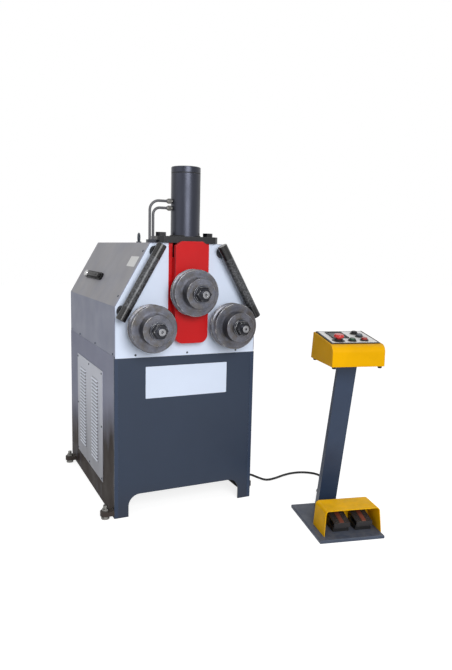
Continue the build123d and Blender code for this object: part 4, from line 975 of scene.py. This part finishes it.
def cover(material, *nodes):
    """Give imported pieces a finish."""
    for name in nodes:
        slots = frame["nodes"][name].data.materials
        slots.clear()
        slots.append(material)


# Mesh tools

@contextmanager
def new_piece(name, look, body, slot):
    """Take the faces built inside the block as a piece with a finish and a body to ride on; its slot is not
    used.
    """
    bm = bmesh.new()
    yield bm
    bmesh.ops.recalc_face_normals(bm, faces=bm.faces[:])
    mesh = bpy.data.meshes.new(name)
    bm.to_mesh(mesh)
    bm.free()
    mesh.materials.append(finish(look))
    for polygon in mesh.polygons:
        polygon.use_smooth = True
    mesh.set_sharp_from_angle(angle=radians(SHARP_EDGE))
    piece = bpy.data.objects.new(name, mesh)
    bpy.context.scene.collection.objects.link(piece)
    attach(piece, body)


def join_rings(bm, rings, closed):
    """Faces between rings of points, of which a ring of one point is a tip."""
    pairs = list(zip(rings, rings[1:]))
    if closed:
        pairs.append((rings[-1], rings[0]))
    for low, high in pairs:
        count = max(len(low), len(high))
        for k in range(count):
            j = (k + 1) % count
            if len(low) == 1:
                bm.faces.new((low[0], high[j], high[k]))
            elif len(high) == 1:
                bm.faces.new((low[k], low[j], high[0]))
            else:
                bm.faces.new((low[k], low[j], high[j], high[k]))


def lathe(bm, place, profile, segments=24, closed=False):
    """Turn (radius, height, sides) steps round a placed z axis. Sides above 0 make that ring a polygon."""
    rings = []
    for radius, height, sides in profile:
        ring = []
        for k in range(segments if radius else 1):
            angle = 2 * pi * k / segments
            reach = radius
            if sides:
                part = 2 * pi / sides
                reach = radius / cos(angle % part - part / 2)
            point = MM * Vector((reach * cos(angle), reach * sin(angle), height))
            ring.append(bm.verts.new(place @ point))
        rings.append(ring)
    join_rings(bm, rings, closed)


def turned_ring(bm, place, section, segments, closed=True):
    """Turn a plain section of (radius, height) steps round a placed z axis."""
    lathe(bm, place, [(radius, height, 0) for radius, height in section], segments, closed)


def screw_head(bm, place, radius, rise=1.0):
    """A domed screw with a hexagon socket, or a nearly flush one with a small rise."""
    steps = (*SCREW_RIM, *SCREW_SOCKET)
    lathe(bm, place, [(radius * out, radius * rise * up, sides) for out, up, sides in steps])


def slab(bm, place, outline, thickness, holes=(), start=0.0, edge=0.0):
    """A flat plate from an outline, with holes, in millimetres on a placed frame."""
    loops = []
    edges = []
    for loop in (outline, *holes):
        verts = [bm.verts.new(Vector((x, y, start)) * MM) for x, y in loop]
        loops.append(verts)
        edges += [bm.edges.new(pair) for pair in zip(verts, verts[1:] + verts[:1])]
    filled = bmesh.ops.triangle_fill(bm, edges=edges, use_beauty=True)["geom"]
    faces = [item for item in filled if isinstance(item, bmesh.types.BMFace)]
    middle = sum((v.co for v in loops[0]), Vector()) / len(loops[0])
    tops = {}
    for number, verts in enumerate(loops):
        for v in verts:
            inward = (middle - v.co).normalized() * edge * MM if number == 0 else Vector()
            tops[v] = bm.verts.new(v.co + inward + Vector((0, 0, thickness * MM)))
    for face in faces:
        bm.faces.new([tops[v] for v in face.verts])
    for verts in loops:
        for a, b in zip(verts, verts[1:] + verts[:1]):
            bm.faces.new((a, b, tops[b], tops[a]))
    bmesh.ops.transform(bm, matrix=place, verts=[*tops, *tops.values()])


def rounded(width, height, radius, across=0.0, steps=6):
    """Outline of a rectangle with round corners."""
    points = []
    for quarter, (sx, sy) in enumerate(((1, 1), (-1, 1), (-1, -1), (1, -1))):
        for k in range(steps + 1):
            angle = pi / 2 * (quarter + k / steps)
            points.append((across + sx * (width / 2 - radius) + radius * cos(angle),
                           sy * (height / 2 - radius) + radius * sin(angle)))
    return points


def circle(radius, across=0.0, up=0.0, steps=28):
    """Outline of a round hole."""
    angles = [2 * pi * k / steps for k in range(steps)]
    return [(across + radius * cos(angle), up + radius * sin(angle)) for angle in angles]


def straight(start, end, spacing=0.9):
    """Points along a straight weld, at a spacing in millimetres."""
    count = ceil((end - start).length / (spacing * MM))
    return [start.lerp(end, k / count) for k in range(count + 1)]


def round_line(centre, radius, gap=0.0, spacing=1.2):
    """Points round a level circle in millimetres, with a gap in degrees at the front."""
    start = radians(gap / 2 - 90)
    turn = radians(360 - gap)
    count = ceil(turn * radius / spacing)
    angles = [start + turn * k / count for k in range(count + bool(gap))]
    return [centre + radius * MM * Vector((cos(angle), sin(angle), 0)) for angle in angles]


def weld_bead(bm, line, radius, closed=False, sides=8):
    """A rippled weld bead along a level line of points."""
    rings = []
    count = len(line)
    travelled = 0.0
    for k, point in enumerate(line):
        before = line[k - 1] if closed or k else line[k]
        after = line[(k + 1) % count] if closed or k < count - 1 else line[k]
        ahead = (after - before).normalized()
        side = ahead.cross(UP).normalized()
        up = side.cross(ahead)
        if k:
            travelled += (point - line[k - 1]).length
        swell = radius * (WELD_LOW + WELD_SWELL * abs(sin(pi * travelled / (WELD_RIPPLE * MM))))
        if not closed:
            swell *= min(1.0, WELD_END + min(k, count - 1 - k) / WELD_TAPER)
        angles = [2 * pi * n / sides for n in range(sides)]
        rings.append([bm.verts.new(point + swell * (cos(a) * side + sin(a) * up)) for a in angles])
    if not closed:
        bm.faces.new(rings[0])
        bm.faces.new(rings[-1][::-1])
    join_rings(bm, rings, closed)


def thread(bm, place, radius, depth, pitch, height, steps=22):
    """A raised screw thread round a placed z axis, in metres."""
    rows = []
    count = int(height / pitch * steps)
    for k in range(count + 1):
        angle = 2 * pi * k / steps
        fade = min(1.0, 2 * k / steps, 2 * (count - k) / steps)
        row = []
        for rise, shift in THREAD_PROFILE:
            reach = radius + depth * fade * rise
            level = pitch * (k / steps + shift)
            row.append(bm.verts.new(place @ Vector((reach * cos(angle), reach * sin(angle), level))))
        rows.append(row)
    join_rings(bm, rows, closed=False)
    bm.faces.new(rows[0])
    bm.faces.new(rows[-1][::-1])


# Operators

class BENDER_OT_camera(bpy.types.Operator):
    """Set up the camera in front of the machine, to its left."""

    bl_idname = "bender.camera"
    bl_label = "Camera"

    def execute(self, context):
        yaw, pitch, roll = (radians(angle) for angle in CAMERA_TURN)
        ahead = Vector((sin(yaw) * cos(pitch), cos(yaw) * cos(pitch), sin(pitch)))
        right = Vector((cos(yaw), -sin(yaw), 0))
        up = right.cross(ahead)
        across = cos(roll) * right + sin(roll) * up
        upright = cos(roll) * up - sin(roll) * right
        data = bpy.data.cameras.new("front_camera")
        data.sensor_width = CAMERA_SENSOR
        data.lens = CAMERA_SENSOR * CAMERA_FOCUS / PHOTO_HEIGHT
        camera = bpy.data.objects.new("front_camera", data)
        context.scene.collection.objects.link(camera)
        turn = Matrix((across, upright, -ahead)).transposed().to_4x4()
        camera.matrix_world = Matrix.Translation(on_machine(*CAMERA_PLACE)) @ turn
        context.scene.camera = camera
        return {"FINISHED"}


class BENDER_OT_cable(bpy.types.Operator):
    """Lay the control cable on the floor between its glands."""

    bl_idname = "bender.cable"
    bl_label = "Control cable"

    def execute(self, context):
        diameter = context.scene.bender_sizes.cable
        points = [on_machine(*point) for point in CABLE_FROM_MACHINE]
        points += [on_stand(*point) for point in CABLE_TO_STAND]
        curve = bpy.data.curves.new("control_cable_jacket", "CURVE")
        curve.dimensions = "3D"
        spline = curve.splines.new("NURBS")
        spline.points.add(len(points) - 1)
        for spot, point in zip(spline.points, points):
            spot.co = (*point, 1.0)
        spline.order_u = 3
        spline.use_endpoint_u = True
        spline.use_smooth = True
        spline.resolution_u = 10
        curve.bevel_depth = diameter / 2
        curve.bevel_resolution = 4
        curve.use_fill_caps = True
        curve.materials.append(finish("cable_black"))
        cable = bpy.data.objects.new("control_cable_jacket", curve)
        context.scene.collection.objects.link(cable)
        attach(cable, "frame")
        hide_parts("control_cable")
        return {"FINISHED"}


class BENDER_OT_cabinet(bpy.types.Operator):
    """Paint the cabinet and add its corner strips and panel screws."""

    bl_idname = "bender.cabinet"
    bl_label = "Cabinet"

    def execute(self, context):
        cover(finish("slate"), "base_front_panel")
        cover(finish("slate_rear"), "rear_panel")
        cover(finish("side_grey"), "side_panels")
        cover(finish("vent_grey"), "vent_covers")
        cover(finish("motor_grey"), "deck_plate", "bottom_shelf")
        radius = context.scene.bender_sizes.panel_screw / MM
        with new_piece("corner_strips", "slate_post", "frame", "slate") as bm:
            for side in SIDES:
                place = placed(on_machine(side * STRIP_PLACE[0], 0, STRIP_PLACE[1]), RIGHT, -BACK)
                slab(bm, place, rounded(*STRIP_SIZE, STRIP_CORNER), STRIP_THICKNESS, edge=STRIP_EDGE)
        with new_piece("vent_screws", "dark_screw", "frame", "zinc") as bm:
            grid = [(column, row) for column in (-1, 0, 1) for row in (-1, 0, 1) if column or row]
            for side in SIDES:
                for column, row in grid:
                    depth = VENT_MIDDLE.y + column * VENT_SCREW_STEP
                    height = VENT_MIDDLE.z + row * VENT_SCREW_STEP
                    place = placed(on_machine(side * VENT_FACE, depth, height), BACK, side * RIGHT)
                    screw_head(bm, place, radius)
        with new_piece("rear_screws", "dark_screw", "frame", "zinc") as bm:
            spots = [(side * REAR_SCREW_ACROSS, height) for side in SIDES for height in REAR_SCREW_HEIGHTS]
            for across, height in (*spots, *HOOD_REAR_SCREWS):
                screw_head(bm, placed(on_machine(across, REAR_FACE, height), RIGHT, BACK), radius)
        return {"FINISHED"}


class BENDER_OT_sign_plate(bpy.types.Operator):
    """Fix the bare sign plate to the front panel."""

    bl_idname = "bender.sign_plate"
    bl_label = "Sign plate"

    def execute(self, context):
        sizes = context.scene.bender_sizes
        outline = rounded(sizes.sign_width / MM, sizes.sign_height / MM, SIGN_CORNER)
        with new_piece("sign_plate", "white", "frame", "white") as bm:
            place = placed(on_machine(0, 0, SIGN_MIDDLE), RIGHT, -BACK)
            slab(bm, place, outline, SIGN_THICKNESS, edge=SIGN_EDGE)
        return {"FINISHED"}


class BENDER_OT_feet(bpy.types.Operator):
    """Finish the foot lugs, with their welds and the threads of the levelling screws."""

    bl_idname = "bender.feet"
    bl_label = "Feet"

    def execute(self, context):
        sizes = context.scene.bender_sizes
        cover(finish("lug"), "foot_lugs")
        cover(finish("zinc"), "levelling_screws")
        with new_piece("lug_welds", "lug", "frame", "slate") as bm:
            for side, depth in LUGS:
                for height in LUG_WELD_HEIGHTS:
                    start = on_machine(side * SIDE_FACE, depth - LUG_WELD_HALF, height)
                    end = on_machine(side * SIDE_FACE, depth + LUG_WELD_HALF, height)
                    weld_bead(bm, straight(start, end), sizes.weld)
        with new_piece("levelling_threads", "zinc", "frame", "zinc") as bm:
            for side, depth in LUGS:
                place = placed(on_machine(side * LEVELLER_ACROSS, depth, THREAD_FOOT), RIGHT, UP)
                thread(bm, place, THREAD_RADIUS * MM, sizes.thread_depth, sizes.thread_pitch,
                       THREAD_LENGTH * MM)
        return {"FINISHED"}


class BENDER_OT_head(bpy.types.Operator):
    """Finish the head plates, guide bars and guide rods, with the plate's screws."""

    bl_idname = "bender.head"
    bl_label = "Head"

    def execute(self, context):
        cover(finish("white"), "head_front_plate")
        cover(finish("motor_grey"), "head_rear_plate")
        cover(finish("red"), "guide_bars", "slide_block")
        cover(finish("guide_rod"), "guide_rods")
        cover(finish("boss"), "guide_rod_mounts")
        cover(finish("bright_steel"), "piston_rod", "top_bearings", "lower_bearings")
        radius = context.scene.bender_sizes.panel_screw / MM
        with new_piece("head_screws", "dark_screw", "frame", "zinc") as bm:
            for across, rise in HEAD_SCREWS:
                screw_head(bm, placed(on_machine(across, 0, HEAD_SCREW_HEIGHT), RIGHT, -BACK), radius, rise)
        return {"FINISHED"}


class BENDER_OT_hood(bpy.types.Operator):
    """Finish the hood and lifting eye, with the hood's screws and the bare roof label."""

    bl_idname = "bender.hood"
    bl_label = "Hood"

    def execute(self, context):
        cover(finish("hood_grey"), "hood_cover")
        cover(finish("motor_grey"), "lifting_eye")
        radius = context.scene.bender_sizes.panel_screw / MM
        with new_piece("hood_screws", "dark_screw", "frame", "zinc") as bm:
            for side in SIDES:
                for depth in HOOD_SCREW_DEPTHS:
                    place = on_machine(side * HOOD_FACE, depth, HOOD_SCREW_HEIGHT)
                    screw_head(bm, placed(place, BACK, side * RIGHT), radius)
                for height in SLOPE_SCREW_HEIGHTS:
                    screw_head(bm, on_slope(side, SLOPE_SCREW_DEPTH, height), radius)
        with new_piece("roof_label", "panel_white", "frame", "panel_white") as bm:
            slab(bm, on_slope(-1, *LABEL_PLACE), rounded(*LABEL_SIZE, LABEL_CORNER), LABEL_THICKNESS)
        return {"FINISHED"}


class BENDER_OT_lock(bpy.types.Operator):
    """Finish the lock, with its key barrel and the rib along its lever."""

    bl_idname = "bender.lock"
    bl_label = "Lock"

    def execute(self, context):
        cover(finish("boss"), "lock_base")
        cover(finish("black_plastic"), "lock_lever")
        with new_piece("lock_barrel", "bright_steel", "frame", "bright_steel") as bm:
            place = on_slope(-1, KEY_DEPTH, LOCK_HEIGHT, KEY_BARREL_LIFT)
            turned_ring(bm, place, KEY_BARREL_SECTION, segments=32)
            place = on_slope(-1, KEY_DEPTH, LOCK_HEIGHT, KEY_LIFT)
            key_slot = rounded(*KEY_SLOT, KEY_SLOT_CORNER)
            slab(bm, place, circle(KEY_RADIUS), KEY_THICKNESS, [key_slot])
        with new_piece("lever_rib", "black_plastic", "lock_lever", "black_plastic") as bm:
            place = on_slope(-1, RIB_DEPTH, LOCK_HEIGHT, RIB_LIFT)
            slab(bm, place, rounded(*RIB_SIZE, RIB_CORNER), RIB_THICKNESS, edge=RIB_EDGE)
        return {"FINISHED"}


class BENDER_OT_cylinder(bpy.types.Operator):
    """Finish the cylinder, flange, bolts and pipes, with the welds of the barrel."""

    bl_idname = "bender.cylinder"
    bl_label = "Cylinder"

    def execute(self, context):
        cover(finish("black_paint"), "cylinder_barrel")
        cover(finish("black_flange"), "cylinder_flange", "flange_bolts")
        cover(finish("pipe_steel"), "pressure_pipes")
        cover(finish("fitting"), "pipe_fittings")
        with new_piece("barrel_welds", "weld", "frame", "black_paint") as bm:
            foot = on_machine(0, CYLINDER_DEPTH, FOOT_WELD_HEIGHT)
            line = round_line(foot, FOOT_WELD_RADIUS, FOOT_WELD_GAP)
            weld_bead(bm, line, context.scene.bender_sizes.weld)
            cap = on_machine(0, CYLINDER_DEPTH, CAP_WELD_HEIGHT)
            weld_bead(bm, round_line(cap, CAP_WELD_RADIUS), CAP_WELD_SIZE * MM, closed=True)
        return {"FINISHED"}


class BENDER_OT_rolls(bpy.types.Operator):
    """Give each spindle's roll, spacer, shaft and nut their turned steel."""

    bl_idname = "bender.rolls"
    bl_label = "Rolls"

    def execute(self, context):
        for spindle in SPINDLES:
            for kind, settings in TURNED_PIECES.items():
                piece = f"{spindle}_{kind}"
                cover(turned_steel(piece + "_finish", spindle, **settings), piece)
        return {"FINISHED"}


class BENDER_OT_drive(bpy.types.Operator):
    """Finish the gears, gear motor and hydraulic unit."""

    bl_idname = "bender.drive"
    bl_label = "Drive"

    def execute(self, context):
        cover(finish("bright_steel"), "left_gear", "right_gear", "drive_pinion")
        cover(finish("motor_grey"), "gear_motor", "hydraulic_tank", "pump_motor")
        return {"FINISHED"}


class BENDER_OT_stand(bpy.types.Operator):
    """Finish the stand and its glands, with the weld at the post's foot."""

    bl_idname = "bender.stand"
    bl_label = "Stand"

    def execute(self, context):
        cover(finish("plate_grey"), "stand_base")
        cover(finish("slate_post"), "stand_post")
        cover(finish("black_plastic"), "cable_glands")
        (left, right), (front, back) = POST_WELD_ACROSS, POST_WELD_DEPTHS
        places = ((left, front), (right, front), (right, back), (left, back))
        corners = [on_stand(across, depth, POST_WELD_HEIGHT) for across, depth in places]
        with new_piece("post_weld", "weld_slate", "frame", "slate") as bm:
            for start, end in zip(corners, corners[1:] + corners[:1]):
                weld_bead(bm, straight(start, end), context.scene.bender_sizes.weld)
        return {"FINISHED"}


class BENDER_OT_console(bpy.types.Operator):
    """Finish the console, with its overlay, display, rings, screws and feet."""

    bl_idname = "bender.console"
    bl_label = "Console"

    def execute(self, context):
        cover(finish("yellow"), "console_box")
        cover(finish("black_plastic"), "console_base", "console_panel", "raise_button")
        cover(finish("motor_grey"), "lower_button")
        cover(finish("green_plastic"), "start_button")
        cover(finish("stop_red"), "stop_button")
        cover(finish("red_plastic"), "emergency_stop")
        with new_piece("keypad_overlay", "panel_white", "frame", "panel_white") as bm:
            holes = [circle(BUTTON_HOLE, *place) for place in BUTTONS]
            holes.append(circle(EMERGENCY_HOLE, *EMERGENCY))
            slab(bm, on_keypad(0, 0), rounded(*OVERLAY_SIZE, OVERLAY_CORNER), OVERLAY_THICKNESS, holes)
        with new_piece("display_frame", "black_plastic", "frame", "black_plastic") as bm:
            opening = rounded(*WINDOW_SIZE, WINDOW_CORNER)
            slab(bm, on_keypad(*DISPLAY), rounded(*DISPLAY_SIZE, DISPLAY_CORNER), DISPLAY_THICKNESS,
                 [opening], DISPLAY_START, DISPLAY_EDGE)
        with new_piece("display_window", "glass", "frame", "black_plastic") as bm:
            width, height = (side + WINDOW_OVERLAP for side in WINDOW_SIZE)
            slab(bm, on_keypad(*DISPLAY), rounded(width, height, WINDOW_CORNER), WINDOW_THICKNESS,
                 start=WINDOW_START)
        with new_piece("button_rings", "zinc", "frame", "zinc") as bm:
            for place in BUTTONS:
                turned_ring(bm, on_keypad(*place), RING_SECTION, segments=32)
        with new_piece("emergency_collar", "black_plastic", "frame", "black_plastic") as bm:
            turned_ring(bm, on_keypad(*EMERGENCY), COLLAR_SECTION, segments=40)
        with new_piece("keypad_screws", "zinc", "frame", "zinc") as bm:
            radius = context.scene.bender_sizes.keypad_screw / MM
            across, up = KEYPAD_SCREW_PLACE
            for sx in SIDES:
                for sy in SIDES:
                    screw_head(bm, on_keypad(sx * across, sy * up), radius)
        with new_piece("console_feet", "black_plastic", "frame", "black_plastic") as bm:
            for across in CONSOLE_FEET_ACROSS:
                for depth in CONSOLE_FEET_DEPTHS:
                    place = placed(on_stand(across, depth, CONSOLE_BOTTOM), RIGHT, -UP)
                    turned_ring(bm, place, CONSOLE_FOOT_SECTION, segments=24, closed=False)
        return {"FINISHED"}


class BENDER_OT_pedals(bpy.types.Operator):
    """Finish the pedals and their guard, with ribs and a worn strip on the treads."""

    bl_idname = "bender.pedals"
    bl_label = "Pedals"

    def execute(self, context):
        cover(finish("yellow_guard"), "pedal_guard")
        cover(finish("black_plastic"), "pedal_switches")
        cover(finish("pedal"), *PEDALS)
        seat = {"start": -TREAD_SINK, "edge": TREAD_EDGE}
        for body, across in PEDALS.items():
            with new_piece(body + "_ribs", "pedal", body, "black_plastic") as bm:
                for step in range(TREAD_RIBS):
                    place = on_tread(across, TREAD_RIB_START + TREAD_RIB_STEP * step)
                    for side in SIDES:
                        outline = rounded(*TREAD_RIB_SIZE, TREAD_RIB_CORNER, side * TREAD_RIB_ACROSS)
                        slab(bm, place, outline, TREAD_RIB_THICKNESS, **seat)
            with new_piece(body + "_strip", "tread", body, "black_plastic") as bm:
                outline = rounded(*TREAD_STRIP_SIZE, TREAD_STRIP_CORNER)
                slab(bm, on_tread(across, TREAD_STRIP_MIDDLE), outline, TREAD_STRIP_THICKNESS, **seat)
        return {"FINISHED"}


class BENDER_OT_stage(bpy.types.Operator):
    """Lay a pale floor and set up soft studio light."""

    bl_idname = "bender.stage"
    bl_label = "Stage"

    def execute(self, context):
        context.scene.view_settings.view_transform = "Standard"
        self.lay_floor(context.scene)
        self.light_world(context.scene)
        self.hang_lamps(context.scene)
        return {"FINISHED"}

    def lay_floor(self, scene):
        """A pale floor that shows white and keeps the shadow."""
        bm = bmesh.new()
        bmesh.ops.create_grid(bm, x_segments=8, y_segments=8, size=FLOOR_HALF * MM)
        mesh = bpy.data.meshes.new("floor")
        bm.to_mesh(mesh)
        bm.free()
        floor = bpy.data.objects.new("floor", mesh)
        floor.location.z = -FLOOR_DROP * MM
        scene.collection.objects.link(floor)
        material, tree, surface = new_material(
            "floor_finish", Roughness=0.8, Base_Color=FLOOR_TONE, Emission_Color=WHITE_LIGHT)
        glow = product(tree, self.seen(tree), scene.bender_stage.floor_glow)
        tree.links.new(glow, surface["Emission Strength"])
        mesh.materials.append(material)

    def light_world(self, scene):
        """Even light from all round, white where it is seen."""
        scene.world = bpy.data.worlds.new("studio")
        scene.world.use_nodes = True
        tree = scene.world.node_tree
        tree.nodes.clear()
        soft = node(tree, "Background", {"Color": WHITE_LIGHT, "Strength": scene.bender_stage.sky})
        bright = node(tree, "Background", {"Color": WHITE_LIGHT, "Strength": 1.0})
        mixed = node(tree, "MixShader", {0: self.seen(tree), 1: soft.outputs[0], 2: bright.outputs[0]})
        node(tree, "OutputWorld", {"Surface": mixed.outputs[0]})

    def hang_lamps(self, scene):
        """A large lamp at the front and a weaker one at the left."""
        target = on_machine(*LAMP_TARGET)
        for name, place, size, power in (
            ("key_lamp", KEY_LAMP_PLACE, KEY_LAMP_SIZE, scene.bender_stage.key),
            ("fill_lamp", FILL_LAMP_PLACE, FILL_LAMP_SIZE, scene.bender_stage.fill),
        ):
            lamp = bpy.data.lights.new(name, "AREA")
            lamp.shape = "DISK"
            lamp.size = size * MM
            lamp.energy = power
            made = bpy.data.objects.new(name, lamp)
            made.location = on_machine(*place)
            made.rotation_euler = (target - made.location).to_track_quat("-Z", "Y").to_euler()
            scene.collection.objects.link(made)

    def seen(self, tree):
        """One for rays from the camera, from gloss and through glass."""
        path = node(tree, "LightPath").outputs
        direct = calc(tree, "MAXIMUM", path["Is Camera Ray"], path["Is Glossy Ray"])
        return calc(tree, "MAXIMUM", direct, path["Is Transmission Ray"])


OPERATORS = (
    BENDER_OT_camera,
    BENDER_OT_cable,
    BENDER_OT_cabinet,
    BENDER_OT_sign_plate,
    BENDER_OT_feet,
    BENDER_OT_head,
    BENDER_OT_hood,
    BENDER_OT_lock,
    BENDER_OT_cylinder,
    BENDER_OT_rolls,
    BENDER_OT_drive,
    BENDER_OT_stand,
    BENDER_OT_console,
    BENDER_OT_pedals,
    BENDER_OT_stage,
)


class BENDER_PT_sidebar(bpy.types.Panel):
    """Steps that dress the machine, with their settings."""

    bl_idname = "BENDER_PT_sidebar"
    bl_label = "Profile Bending Machine"
    bl_space_type = "VIEW_3D"
    bl_region_type = "UI"
    bl_category = "Bender"

    def draw(self, context):
        for operator in OPERATORS:
            self.layout.operator(operator.bl_idname)
        for name in SETTINGS:
            settings = getattr(context.scene, name)
            box = self.layout.box()
            for key in settings.__annotations__:
                box.prop(settings, key)


SETTINGS = {"bender_colours": BenderColours, "bender_sizes": BenderSizes, "bender_stage": BenderStage}
CLASSES = (*SETTINGS.values(), *OPERATORS, BENDER_PT_sidebar)


def register():
    """Make the settings, operators and panel known."""
    for item in CLASSES:
        bpy.utils.register_class(item)
    for key, group in SETTINGS.items():
        setattr(bpy.types.Scene, key, bpy.props.PointerProperty(type=group))


def unregister():
    """Take them back."""
    for key in SETTINGS:
        delattr(bpy.types.Scene, key)
    for item in reversed(CLASSES):
        bpy.utils.unregister_class(item)


def main():
    """Dress the machine step by step."""
    register()
    for operator in OPERATORS:
        family, name = operator.bl_idname.split(".")
        getattr(getattr(bpy.ops, family), name)()


if __name__ == "__main__":
    main()
